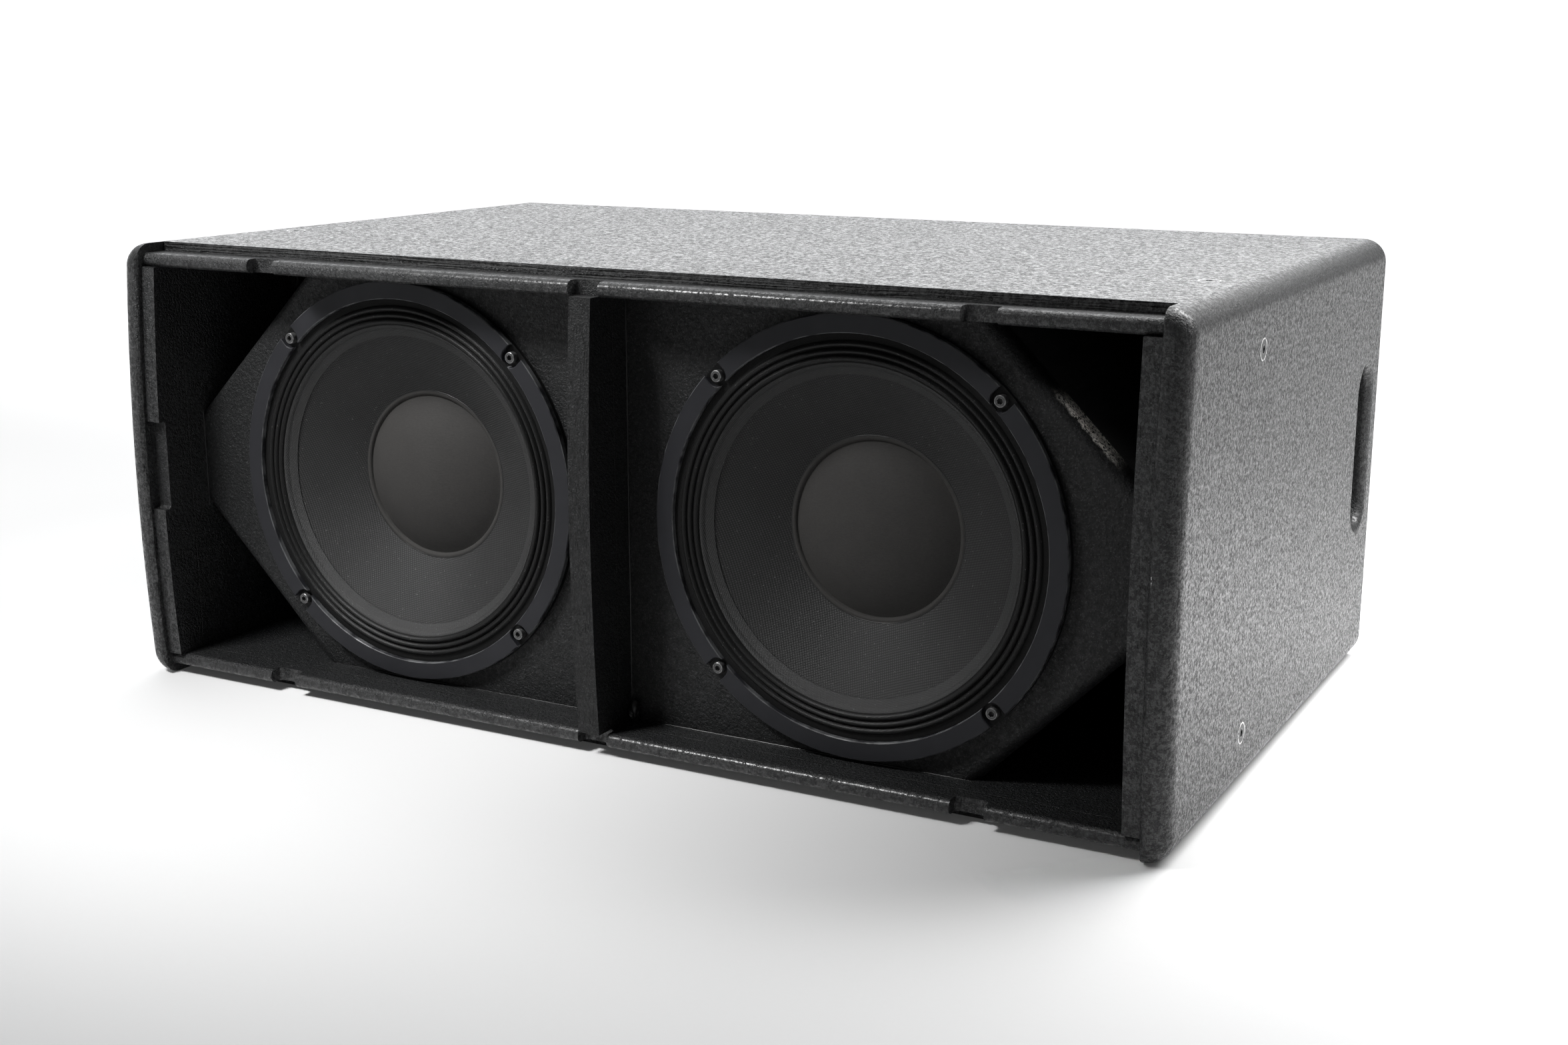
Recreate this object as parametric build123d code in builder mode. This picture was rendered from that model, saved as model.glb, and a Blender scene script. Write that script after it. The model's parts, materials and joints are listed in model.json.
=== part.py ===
from build123d import *
import os

os.makedirs("parts", exist_ok=True)

# Double twelve-inch bass cabinet, millimetres.
# +X is the right side seen from the front, +Y runs to the back, +Z is up.
# The origin is on the floor, midway between the sides and midway front to back.

# Overall sizes
width = 874
depth = 540
chamber_height = 319

# Boards
side_board = 19
liner_board = 13
board = 18
port_board = 12
brace_board = 15
edge_round = 18.5
rim_outer_round = 14
rim_inner_round = 3
front_bow_radius = 2000
height = chamber_height + 2 * board

# Setbacks from the foremost point of the side rims
strip_setback = 5.5
divider_setback = 4
lip_setback = 14
riser_setback = 37
baffle_setback = 55

# Grille seat along the top and bottom boards
rabbet_depth = 7.3
lip_round = 5
notch_width = 25
notch_reach = 12
notch_round = 4
outer_notch_x = 297
strip_notch_length = 72
strip_notch_reach = 7
strip_notch_round = 3

# Drivers
driver_spacing = 388
baffle_hole_radius = 141.5
bolt_circle_radius = baffle_hole_radius + 8.5
flange_radius = baffle_hole_radius + 15.5
flange_thickness = 2.5
seal_thickness = 1
arc_outer_radius = flange_radius - 0.5
arc_inner_radius = baffle_hole_radius + 1.5
arc_thickness = 4.5
pocket_radius = 7.5
screw_radius = 2.5
screw_head_radius = 4.3
screw_head_height = 5
screw_reach = 8
screw_socket = 4
nut_thickness = 5
nut_flange_radius = 8
hole_clearance = 0.3
running_gap = 0.4
travel = 8

# Moving cone, measured back from the front face of the baffle
cone_edge_radius = baffle_hole_radius - 19.5
cone_edge_depth = -2.5
cone_thickness = 1.2
cap_radius = 67
cap_depth = 32
cap_height = 17
cap_thickness = 1
former_radius = 37.9
former_thickness = 0.5
coil_thickness = 1.8
coil_length = 18
roll_count = 3
roll_height = 2.2
skin_thickness = 0.8
landing_width = 4.7
spider_roll_count = 6
spider_roll_height = 1.8
spider_outer_radius = 84
spider_landing = 7

# Frame and magnet, measured back from the front face of the baffle
basket_wall = 3
basket_straight = 20
spider_ledge_depth = 66
basket_floor_depth = 80
basket_floor_thickness = 4
basket_foot_radius = 88
window_count = 6
window_width = 76
boss_width = 34
boss_height = 22
boss_rise = 106
boss_depth = 44
boss_thickness = 20
terminal_width = 28
terminal_height = 12
terminal_rise = 109.5
terminal_thickness = 4
tab_width = 6
tab_length = 8
tab_spacing = 16
top_plate_thickness = 10
top_plate_radius = 86
magnet_radius = 85
magnet_bore_radius = 47
magnet_thickness = 22
back_plate_radius = 82
back_plate_thickness = 10
pole_gap = 1
vent_radius = 11

# Ports in the outer corners
port_leg = 118
port_length = 262
port_edge_round = 9
brace_depth = 205
brace_window_width = 236
brace_window_height = 190

# Hand holds at the back of the sides
handle_width = 42
handle_length = 132
handle_height = 188
handle_round = 7
cup_depth = 34
cup_wall = 2.5
handle_back_margin = board + handle_width / 2 + cup_wall + 0.5

# Flying points
point_setback = 169
point_side_rise = 134
sleeve_radius = 7
sleeve_length = 30
point_top_x = width / 2 - side_board - liner_board - sleeve_radius
point_head_radius = 7.9
point_screw_radius = 4
point_screw_length = 22
point_head_depth = 3.9
point_socket = 5
point_clearance = 0.2

# Connector plate at the back
plate_width = 150
plate_height = 92
plate_thickness = 3
plate_seal = 1
plate_recess = 8
plate_border = 12
plate_x = -196
plate_corner = 6
socket_spacing = 62
socket_radius = 13
socket_wall = 2
socket_depth = 22
socket_flange = 34
socket_flange_thickness = 2
core_radius = 4.6
core_recess = 2
small_screw_radius = 1.5
small_head_radius = 2.8
small_head_height = 1.6
plate_screw_radius = 2
plate_head_radius = 3.6
plate_head_height = 2.2
plate_screw_hold = 8
small_screw_reach = 8

# Damping pads
pad_thickness = 25
pad_width = 300
pad_height = 240
pad_corner = 10

# Places worked out from the sizes above
front_y = -depth / 2
back_y = depth / 2
strip_y = front_y + strip_setback
divider_y = front_y + divider_setback
lip_y = front_y + lip_setback
riser_y = front_y + riser_setback
baffle_y = front_y + baffle_setback
baffle_back_y = baffle_y + board
rear_y = back_y - board
inner_x = width / 2 - side_board
liner_x = inner_x - liner_board
ceiling_z = height - board
middle_z = height / 2
driver_x = driver_spacing / 2
flange_front = -seal_thickness - flange_thickness
arc_front = flange_front - arc_thickness
screw_side = bolt_circle_radius / 2**0.5
port_offset = port_board * 2**0.5
sides = (("left", -1), ("right", 1))


def front_plane(x, y, z):
    """A plane facing forward, with its own x to the right and its own y up."""
    return Plane(origin=(x, y, z), x_dir=(1, 0, 0), z_dir=(0, -1, 0))


def driver_plane(x):
    """Radius runs along its own x, and depth behind the baffle face along its own y."""
    return Plane(origin=(x, baffle_y, middle_z), x_dir=(1, 0, 0), z_dir=(0, 0, 1))


def driver_axis(x):
    return Axis((x, 0, middle_z), (0, 1, 0))


def finish(piece, name):
    piece.part.label = name
    export_step(piece.part, f"parts/{name}.step")


def bow_sag(rise):
    """How far a bowed front edge falls back at a height above or below the middle."""
    return front_bow_radius - (front_bow_radius**2 - rise**2) ** 0.5


# Flying points: two in the top, two in the bottom, two in each side
point_y = front_y + point_setback
top_points = [Plane(origin=(s * point_top_x, point_y, height), z_dir=(0, 0, 1)) for _, s in sides]
bottom_points = [Plane(origin=(s * point_top_x, point_y, 0), z_dir=(0, 0, -1)) for _, s in sides]


def side_points(s):
    rises = (-point_side_rise, point_side_rise)
    return [Plane(origin=(s * width / 2, point_y, middle_z + r), z_dir=(s, 0, 0)) for r in rises]


all_points = top_points + bottom_points + side_points(-1) + side_points(1)


def drill_points(points):
    """Bores for the sleeves, opened at the skin for the screw heads."""
    bore = sleeve_radius + point_clearance
    with Locations(*[Location(p) for p in points]):
        CounterSinkHole(bore, point_head_radius + point_clearance, counter_sink_angle=90)


# Top and bottom boards, with the grille's ledge, lip and notches along the front
def long_board(name, outer_z, inward, points):
    """inward is -1 for the top board and 1 for the bottom one."""
    middle = outer_z + inward * board / 2
    ledge_z = outer_z + inward * rabbet_depth / 2
    with BuildPart() as piece:
        with BuildSketch(Plane.XY.offset(middle - board / 2)):
            with Locations((0, (lip_y + back_y) / 2)):
                Rectangle(2 * inner_x, back_y - lip_y)
        extrude(amount=board)
        with BuildSketch(Plane.XY.offset(ledge_z - rabbet_depth / 2)):
            with Locations((0, (lip_y + riser_y) / 2)):
                Rectangle(2 * inner_x, riser_y - lip_y)
        extrude(amount=rabbet_depth, mode=Mode.SUBTRACT)
        lip_edges = piece.edges().filter_by(Axis.X).group_by(Axis.Y)[0]
        fillet(lip_edges, lip_round)
        with BuildSketch(Plane.XY.offset(middle - board / 2)):
            with Locations(*[(x, lip_y) for x in (-outer_notch_x, 0, outer_notch_x)]):
                RectangleRounded(notch_width, 2 * notch_reach, notch_round)
        extrude(amount=board, mode=Mode.SUBTRACT)
        drill_points(points)
    finish(piece, name)


long_board("top_panel", height, -1, top_points)
long_board("bottom_panel", 0, 1, bottom_points)


# Side boards: bowed, bull-nosed rims, and fully rounded long edges. Only the left liner has a relief notch.
def bowed_outline(start_y, end_y, low_z, high_z):
    """Closed side-view outline with a bowed front edge; its own x is Y and its own y is Z."""
    sag = bow_sag((high_z - low_z) / 2)
    with BuildLine() as outline:
        ThreePointArc(
            (start_y + sag, low_z), (start_y, (low_z + high_z) / 2), (start_y + sag, high_z)
        )
        Polyline((start_y + sag, high_z), (end_y, high_z), (end_y, low_z), (start_y + sag, low_z))
    make_face(outline.edges())


handle_y = back_y - handle_back_margin


def side_plane(x):
    return Plane(origin=(x, 0, 0), x_dir=(0, 1, 0), z_dir=(1, 0, 0))


def cut_handle(inner, reach):
    with BuildSketch(side_plane(inner)) as slot:
        with Locations((handle_y, handle_height)):
            SlotOverall(handle_length, handle_width, rotation=90)
    extrude(slot.sketch, amount=reach, mode=Mode.SUBTRACT)


def round_inner_rim(s):
    """Rounds the rim's inner edge along the bow only, by turning a cutter about the bow's axis."""
    r = rim_inner_round
    bow_axis = Axis((0, front_y + front_bow_radius, middle_z), (1, 0, 0))
    corner = Plane(origin=(s * inner_x, front_y, middle_z), x_dir=(s, 0, 0), z_dir=(0, 0, s))
    with BuildSketch(corner) as cutter:
        with BuildLine() as outline:
            near = r * (1 - 0.5**0.5)
            Polyline((0, r), (-1, r), (-1, -1), (r, -1), (r, 0))
            ThreePointArc((r, 0), (near, near), (0, r))
        make_face(outline.edges())
    revolve(cutter.sketch, axis=bow_axis, mode=Mode.SUBTRACT)


for side, s in sides:
    low_x = min(s * inner_x, s * width / 2)
    with BuildPart() as side_panel:
        with BuildSketch(side_plane(low_x)):
            bowed_outline(front_y, back_y, 0, height)
        extrude(amount=side_board)
        skin = side_panel.faces().sort_by(Axis.X)[-1 if s > 0 else 0]
        fillet(skin.edges().filter_by(Axis.Y), edge_round)
        rim = side_panel.faces().sort_by(Axis.Y)[0]
        inner_edge = rim.edges().sort_by(Axis.X)[0 if s > 0 else -1]
        outer_edges = [e for e in rim.edges() if e != inner_edge]
        fillet(outer_edges, rim_outer_round)
        round_inner_rim(s)
        cut_handle(low_x, side_board)
        skin = side_panel.faces().sort_by(Axis.X)[-1 if s > 0 else 0]
        fillet(skin.inner_wires()[0].edges(), handle_round)
        drill_points(side_points(s))
    finish(side_panel, f"side_panel_{side}")

    low_x = min(s * liner_x, s * inner_x)
    with BuildPart() as liner:
        with BuildSketch(side_plane(low_x)):
            bowed_outline(strip_y, rear_y, board, ceiling_z)
        extrude(amount=liner_board)
        if s < 0:
            with BuildSketch(side_plane(low_x)):
                with Locations((strip_y, middle_z)):
                    RectangleRounded(2 * strip_notch_reach, strip_notch_length, strip_notch_round)
            extrude(amount=liner_board, mode=Mode.SUBTRACT)
        cut_handle(low_x, liner_board)
        with Locations(*[Location(p) for p in side_points(s)]):
            Hole(sleeve_radius + point_clearance, depth=side_board + liner_board + 1)
    finish(liner, f"liner_{side}")

    cup_x = s * liner_x
    with BuildPart() as cup:
        with BuildSketch(side_plane(min(cup_x, cup_x - s * cup_depth))):
            with Locations((handle_y, handle_height)):
                SlotOverall(handle_length + 2 * cup_wall, handle_width + 2 * cup_wall, rotation=90)
        extrude(amount=cup_depth)
        hollow = cup_depth - cup_wall
        with BuildSketch(side_plane(min(cup_x, cup_x - s * hollow))):
            with Locations((handle_y, handle_height)):
                SlotOverall(handle_length, handle_width, rotation=90)
        extrude(amount=hollow, mode=Mode.SUBTRACT)
    finish(cup, f"handle_cup_{side}")


# Centre divider between the two chambers
with BuildPart() as divider:
    with BuildSketch(side_plane(-board / 2)):
        bowed_outline(divider_y, rear_y, board, ceiling_z)
    extrude(amount=board)
finish(divider, "centre_divider")


# Baffles, port boards and braces
def chamber_outline(s, leg):
    """Front-view outline of one chamber, with its two outer corners cut at 45 degrees."""
    near = s * board / 2
    far = s * liner_x
    cut = far - s * leg
    with BuildLine() as outline:
        Polyline(
            (near, board),
            (cut, board),
            (far, board + leg),
            (far, ceiling_z - leg),
            (cut, ceiling_z),
            (near, ceiling_z),
            close=True,
        )
    make_face(outline.edges())


def screw_places(x):
    return [(x + a * screw_side, middle_z + b * screw_side) for a in (-1, 1) for b in (-1, 1)]


for side, s in sides:
    x = s * driver_x
    with BuildPart() as baffle:
        with BuildSketch(front_plane(0, baffle_y, 0)):
            chamber_outline(s, port_leg)
            with Locations((x, middle_z)):
                Circle(baffle_hole_radius, mode=Mode.SUBTRACT)
            with Locations(*screw_places(x)):
                Circle(screw_radius + hole_clearance, mode=Mode.SUBTRACT)
        extrude(amount=-board)
        front = baffle.faces().sort_by(Axis.Y)[0]
        long_edges = front.outer_wire().edges()
        straight = long_edges.filter_by(Axis.X) + long_edges.filter_by(Axis.Z)
        slanted = [e for e in long_edges if e not in straight]
        fillet(slanted, port_edge_round)
    finish(baffle, f"baffle_{side}")

    for level, corner_z, down in (("upper", ceiling_z, -1), ("lower", board, 1)):
        far = s * liner_x
        cut = far - s * port_leg
        with BuildPart() as port:
            with BuildSketch(front_plane(0, baffle_back_y, 0)):
                with BuildLine():
                    Polyline(
                        (cut, corner_z),
                        (far, corner_z + down * port_leg),
                        (far, corner_z + down * (port_leg + port_offset)),
                        (cut - s * port_offset, corner_z),
                        close=True,
                    )
                make_face()
            extrude(amount=-port_length)
        finish(port, f"port_board_{level}_{side}")

    with BuildPart() as brace:
        with BuildSketch(front_plane(0, baffle_y + brace_depth, 0)):
            chamber_outline(s, port_leg + port_offset)
            with Locations((x, middle_z)):
                RectangleRounded(
                    brace_window_width, brace_window_height, 30, mode=Mode.SUBTRACT
                )
        extrude(amount=-brace_board)
    finish(brace, f"brace_{side}")


# Rear board with the recess and opening for the connector plate
plate_seat_y = back_y - plate_recess
fixing_x = plate_width / 2 - plate_border / 2
fixing_z = plate_height / 2 - plate_border / 2
plate_fixings = [(a * fixing_x, b * fixing_z) for a in (-1, 0, 1) for b in (-1, 1)]

with BuildPart() as rear:
    with BuildSketch(front_plane(0, rear_y, middle_z)):
        Rectangle(2 * inner_x, ceiling_z - board)
    extrude(amount=-board)
    with BuildSketch(front_plane(plate_x, plate_seat_y, middle_z)):
        RectangleRounded(
            plate_width + 2 * hole_clearance,
            plate_height + 2 * hole_clearance,
            plate_corner + hole_clearance,
        )
    extrude(amount=-plate_recess, mode=Mode.SUBTRACT)
    with BuildSketch(front_plane(plate_x, rear_y, middle_z)):
        RectangleRounded(
            plate_width - 2 * plate_border, plate_height - 2 * plate_border, plate_corner
        )
    extrude(amount=-board, mode=Mode.SUBTRACT)
    with BuildSketch(front_plane(plate_x, plate_seat_y, middle_z)):
        with Locations(*plate_fixings):
            Circle(plate_screw_radius + hole_clearance)
    extrude(amount=plate_screw_hold, mode=Mode.SUBTRACT)
finish(rear, "rear_panel")

plate_y = plate_seat_y + plate_seal
with BuildPart() as seal:
    with BuildSketch(front_plane(plate_x, plate_seat_y, middle_z)):
        RectangleRounded(plate_width, plate_height, plate_corner)
        RectangleRounded(
            plate_width - 2 * plate_border,
            plate_height - 2 * plate_border,
            plate_corner,
            mode=Mode.SUBTRACT,
        )
        with Locations(*plate_fixings):
            Circle(plate_screw_radius + hole_clearance, mode=Mode.SUBTRACT)
    extrude(amount=-plate_seal)
finish(seal, "plate_seal")

socket_places = [(-socket_spacing / 2, 0), (socket_spacing / 2, 0)]
plate_face_y = plate_y + plate_thickness
socket_fix = socket_flange / 2 - 4
socket_fixings = [(x + a * socket_fix, a * socket_fix) for x, _ in socket_places for a in (-1, 1)]
with BuildPart() as plate:
    with BuildSketch(front_plane(plate_x, plate_y, middle_z)):
        RectangleRounded(plate_width, plate_height, plate_corner)
        with Locations(*socket_places):
            Circle(socket_radius + hole_clearance, mode=Mode.SUBTRACT)
        with Locations(*plate_fixings):
            Circle(plate_screw_radius + hole_clearance, mode=Mode.SUBTRACT)
        with Locations(*socket_fixings):
            Circle(small_screw_radius + hole_clearance, mode=Mode.SUBTRACT)
    extrude(amount=-plate_thickness)
finish(plate, "connector_plate")

socket_face_y = plate_face_y + socket_flange_thickness
with BuildPart() as shells:
    with BuildSketch(front_plane(plate_x, plate_face_y, middle_z)):
        with Locations(*socket_places):
            RectangleRounded(socket_flange, socket_flange, 4)
        with Locations(*socket_fixings):
            Circle(small_screw_radius + hole_clearance, mode=Mode.SUBTRACT)
    extrude(amount=-socket_flange_thickness)
    with BuildSketch(front_plane(plate_x, socket_face_y, middle_z)):
        with Locations(*socket_places):
            Circle(socket_radius)
    extrude(amount=socket_depth)
    with BuildSketch(front_plane(plate_x, socket_face_y, middle_z)):
        with Locations(*socket_places):
            Circle(socket_radius - socket_wall)
    extrude(amount=socket_depth - socket_wall, mode=Mode.SUBTRACT)
finish(shells, "connector_shells")

with BuildPart() as cores:
    core_y = socket_face_y - core_recess
    with BuildSketch(front_plane(plate_x, core_y, middle_z)):
        with Locations(*socket_places):
            Circle(core_radius)
    extrude(amount=socket_depth - socket_wall - core_recess)
finish(cores, "connector_cores")


def round_head_screws(name, y, places, radius, reach, head_radius, head_height):
    """Screws that point forward from the back, with domed-off heads and cross slots."""
    with BuildPart() as screws:
        with BuildSketch(front_plane(plate_x, y, middle_z)):
            with Locations(*places):
                Circle(head_radius)
        extrude(amount=-head_height)
        rims = screws.faces().sort_by(Axis.Y)[-len(places) :].edges()
        fillet(rims, head_height * 0.45)
        with BuildSketch(front_plane(plate_x, y, middle_z)):
            with Locations(*places):
                Circle(radius)
        extrude(amount=reach)
        with BuildSketch(front_plane(plate_x, y + head_height * 0.4, middle_z)):
            with Locations(*places):
                Rectangle(head_radius * 1.1, head_radius * 0.22)
                Rectangle(head_radius * 0.22, head_radius * 1.1)
        extrude(amount=-head_height, mode=Mode.SUBTRACT)
    finish(screws, name)


round_head_screws(
    "plate_screws",
    plate_face_y,
    plate_fixings,
    plate_screw_radius,
    plate_thickness + plate_seal + plate_screw_hold - 0.5,
    plate_head_radius,
    plate_head_height,
)
round_head_screws(
    "connector_screws",
    socket_face_y,
    socket_fixings,
    small_screw_radius,
    small_screw_reach,
    small_head_radius,
    small_head_height,
)

# Threaded sleeves of the flying points, and the countersunk screws that blank them
with BuildPart() as sleeves:
    with Locations(*[Location(p.offset(-1)) for p in all_points]):
        Cylinder(sleeve_radius, sleeve_length, align=(Align.CENTER, Align.CENTER, Align.MAX))
    with Locations(*[Location(p) for p in all_points]):
        CounterSinkHole(
            point_screw_radius + point_clearance,
            point_head_radius + point_clearance,
            depth=sleeve_length + 2,
            counter_sink_angle=90,
        )
finish(sleeves, "flying_sleeves")

with BuildPart() as blanking:
    with Locations(*[Location(p) for p in all_points]):
        Cone(
            point_head_radius - point_head_depth,
            point_head_radius,
            point_head_depth,
            align=(Align.CENTER, Align.CENTER, Align.MAX),
        )
    with Locations(*[Location(p.offset(-point_head_depth)) for p in all_points]):
        Cylinder(
            point_screw_radius,
            point_screw_length - point_head_depth,
            align=(Align.CENTER, Align.CENTER, Align.MAX),
        )
    for p in all_points:
        with BuildSketch(p):
            RegularPolygon(point_socket / 2, 6, major_radius=False)
        extrude(amount=-point_head_depth, mode=Mode.SUBTRACT)
finish(blanking, "blanking_screws")


# One driver: everything from the screws back to the magnet
def cone_depth(radius):
    """Depth of the cone's front face: straight, with a gentle swell between edge and cap."""
    slope = (cap_depth - cone_edge_depth) / (cone_edge_radius - cap_radius)
    return cone_edge_depth + slope * (cone_edge_radius - radius)


def rolls(start, end, level, height, count):
    """Half-round rolls side by side, from one radius to another."""
    pitch = (end - start) / count
    for i in range(count):
        a = start + i * pitch
        ThreePointArc((a, level), (a + pitch / 2, level - height), (a + pitch, level))


def driver(side, x):
    axis = driver_axis(x)
    section = driver_plane(x)

    with BuildPart() as seal_ring:
        with BuildSketch(front_plane(x, baffle_y, middle_z)):
            Circle(flange_radius)
            Circle(baffle_hole_radius, mode=Mode.SUBTRACT)
            with PolarLocations(bolt_circle_radius, 4, 45):
                Circle(screw_radius + hole_clearance, mode=Mode.SUBTRACT)
        extrude(amount=seal_thickness)
    finish(seal_ring, f"driver_seal_{side}")

    bore = baffle_hole_radius - 1
    basket_in = bore - basket_wall
    with BuildPart() as frame:
        with BuildSketch(section):
            with BuildLine():
                Polyline(
                    (flange_radius, flange_front),
                    (flange_radius, -seal_thickness),
                    (bore, -seal_thickness),
                    (bore, basket_straight),
                    (basket_foot_radius, basket_floor_depth - 2),
                    (basket_foot_radius, basket_floor_depth + basket_floor_thickness),
                    (magnet_bore_radius, basket_floor_depth + basket_floor_thickness),
                    (magnet_bore_radius, basket_floor_depth),
                    (spider_outer_radius - spider_landing, basket_floor_depth),
                    (spider_outer_radius - spider_landing, spider_ledge_depth),
                    (basket_foot_radius, spider_ledge_depth),
                    (basket_in, basket_straight - 8),
                    (basket_in, flange_front),
                    close=True,
                )
            make_face()
        revolve(axis=axis)
        with BuildSketch(front_plane(x, baffle_y + basket_straight + 4, middle_z)):
            with PolarLocations((bore + basket_foot_radius) / 2, window_count):
                Rectangle(bore - basket_foot_radius - 12, window_width)
        extrude(amount=-(basket_floor_depth - basket_straight), mode=Mode.SUBTRACT)
        with BuildSketch(front_plane(x, baffle_y + boss_depth, middle_z + boss_rise)):
            Rectangle(boss_width, boss_height)
        extrude(amount=-boss_thickness)
        with BuildSketch(front_plane(x, baffle_y, middle_z)):
            with PolarLocations(bolt_circle_radius, 4, 45):
                Circle(screw_radius + hole_clearance)
        extrude(amount=10, mode=Mode.SUBTRACT)
    finish(frame, f"frame_{side}")

    with BuildPart() as terminals:
        seat = baffle_y + boss_depth + boss_thickness
        with BuildSketch(front_plane(x, seat, middle_z + terminal_rise)):
            Rectangle(terminal_width, terminal_height)
        extrude(amount=-terminal_thickness)
        with BuildSketch(front_plane(x, seat + terminal_thickness, middle_z + terminal_rise)):
            with GridLocations(tab_spacing, 0, 2, 1):
                Rectangle(tab_width, 1)
        extrude(amount=-tab_length)
    finish(terminals, f"terminals_{side}")

    with BuildPart() as arcs:
        with BuildSketch(front_plane(x, baffle_y + flange_front, middle_z)):
            Circle(arc_outer_radius)
            Circle(arc_inner_radius, mode=Mode.SUBTRACT)
            with PolarLocations(bolt_circle_radius, 4, 45):
                Circle(pocket_radius, mode=Mode.SUBTRACT)
            with PolarLocations(bolt_circle_radius + pocket_radius, 4, 45):
                Rectangle(2 * pocket_radius, 2 * pocket_radius, mode=Mode.SUBTRACT)
        extrude(amount=arc_thickness)
        chamfer(arcs.faces().sort_by(Axis.Y)[:4].edges(), 0.6)
    finish(arcs, f"gasket_arcs_{side}")

    with BuildPart() as screws:
        with BuildSketch(front_plane(x, baffle_y + flange_front, middle_z)):
            with PolarLocations(bolt_circle_radius, 4, 45):
                Circle(screw_head_radius)
        extrude(amount=screw_head_height)
        fillet(screws.faces().sort_by(Axis.Y)[:4].edges(), 0.7)
        with BuildSketch(front_plane(x, baffle_y + flange_front, middle_z)):
            with PolarLocations(bolt_circle_radius, 4, 45):
                Circle(screw_radius)
        extrude(amount=flange_front - board - screw_reach)
        with BuildSketch(front_plane(x, baffle_y + flange_front - screw_head_height, middle_z)):
            with PolarLocations(bolt_circle_radius, 4, 45):
                RegularPolygon(screw_socket / 2, 6, major_radius=False)
        extrude(amount=-screw_head_height / 2, mode=Mode.SUBTRACT)
    finish(screws, f"driver_screws_{side}")

    with BuildPart() as nuts:
        with BuildSketch(front_plane(x, baffle_back_y, middle_z)):
            with PolarLocations(bolt_circle_radius, 4, 45):
                Circle(nut_flange_radius)
                Circle(screw_radius + 0.1, mode=Mode.SUBTRACT)
        extrude(amount=-1.4)
        with BuildSketch(front_plane(x, baffle_back_y, middle_z)):
            with PolarLocations(bolt_circle_radius, 4, 45):
                RegularPolygon(4.5, 6, major_radius=False)
                Circle(screw_radius + 0.1, mode=Mode.SUBTRACT)
        extrude(amount=-nut_thickness)
    finish(nuts, f"driver_nuts_{side}")

    landing_out = arc_inner_radius - hole_clearance
    roll_out = landing_out - landing_width
    skin_front = flange_front - skin_thickness
    with BuildPart() as surround:
        with BuildSketch(section):
            with BuildLine():
                lip_in = cone_edge_radius - 6
                edge = cone_edge_radius + 1
                Line((lip_in, skin_front), (edge, skin_front))
                rolls(edge, roll_out, skin_front, roll_height, roll_count)
                Line((roll_out, skin_front), (landing_out, skin_front))
                Line((landing_out, skin_front), (landing_out, flange_front))
                Line((landing_out, flange_front), (roll_out, flange_front))
                rolls(edge, roll_out, flange_front, roll_height, roll_count)
                Line((edge, flange_front), (lip_in, flange_front))
                Line((lip_in, flange_front), (lip_in, skin_front))
            make_face()
        revolve(axis=axis)
    finish(surround, f"surround_{side}")

    neck = former_radius + hole_clearance
    with BuildPart() as cone:
        with BuildSketch(section):
            with BuildLine():
                lift = cone_thickness / 0.85
                Polyline(
                    (neck, cone_depth(neck)),
                    (cone_edge_radius - 6, cone_depth(cone_edge_radius - 6)),
                    (cone_edge_radius, cone_edge_depth),
                    (cone_edge_radius, cone_edge_depth + lift),
                    (neck, cone_depth(neck) + lift),
                    close=True,
                )
            make_face()
        revolve(axis=axis)
    finish(cone, f"cone_{side}")

    with BuildPart() as cap:
        with BuildSketch(section):
            seat = cap_depth - 0.3
            with BuildLine():
                chord = cap_radius
                bulge = (chord**2 + cap_height**2) / (2 * cap_height)
                centre = seat - cap_height + bulge
                inner = bulge - cap_thickness
                inner_chord = (inner**2 - (centre - seat) ** 2) ** 0.5
                half = chord / 2
                half_in = inner_chord / 2
                ThreePointArc(
                    (0, seat - cap_height), (half, centre - (bulge**2 - half**2) ** 0.5), (chord, seat)
                )
                Line((chord, seat), (inner_chord, seat))
                ThreePointArc(
                    (inner_chord, seat),
                    (half_in, centre - (inner**2 - half_in**2) ** 0.5),
                    (0, centre - inner),
                )
                Line((0, centre - inner), (0, seat - cap_height))
            make_face()
        revolve(axis=axis)
    finish(cap, f"dust_cap_{side}")

    coil_end = basket_floor_depth + basket_floor_thickness + top_plate_thickness / 2 + coil_length / 2
    with BuildPart() as former:
        with BuildSketch(section):
            with BuildLine():
                a = former_radius - former_thickness
                top = cone_depth(neck) - 2
                Polyline((a, top), (former_radius, top), (former_radius, coil_end), (a, coil_end), close=True)
            make_face()
        revolve(axis=axis)
    finish(former, f"coil_former_{side}")

    with BuildPart() as coil:
        with BuildSketch(section):
            with BuildLine():
                b = former_radius + coil_thickness
                top = coil_end - coil_length
                Polyline((former_radius, top), (b, top), (b, coil_end), (former_radius, coil_end), close=True)
            make_face()
        revolve(axis=axis)
    finish(coil, f"voice_coil_{side}")

    with BuildPart() as spider:
        with BuildSketch(section):
            with BuildLine():
                lip = former_radius + running_gap
                start = lip + 4
                end = spider_outer_radius - spider_landing
                front = spider_ledge_depth - skin_thickness
                Line((lip, front), (start, front))
                rolls(start, end, front, spider_roll_height, spider_roll_count)
                Line((end, front), (spider_outer_radius, front))
                Line((spider_outer_radius, front), (spider_outer_radius, spider_ledge_depth))
                Line((spider_outer_radius, spider_ledge_depth), (end, spider_ledge_depth))
                rolls(start, end, spider_ledge_depth, spider_roll_height, spider_roll_count)
                Line((start, spider_ledge_depth), (lip, spider_ledge_depth))
                Line((lip, spider_ledge_depth), (lip, front))
            make_face()
        revolve(axis=axis)
    finish(spider, f"spider_{side}")

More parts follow.
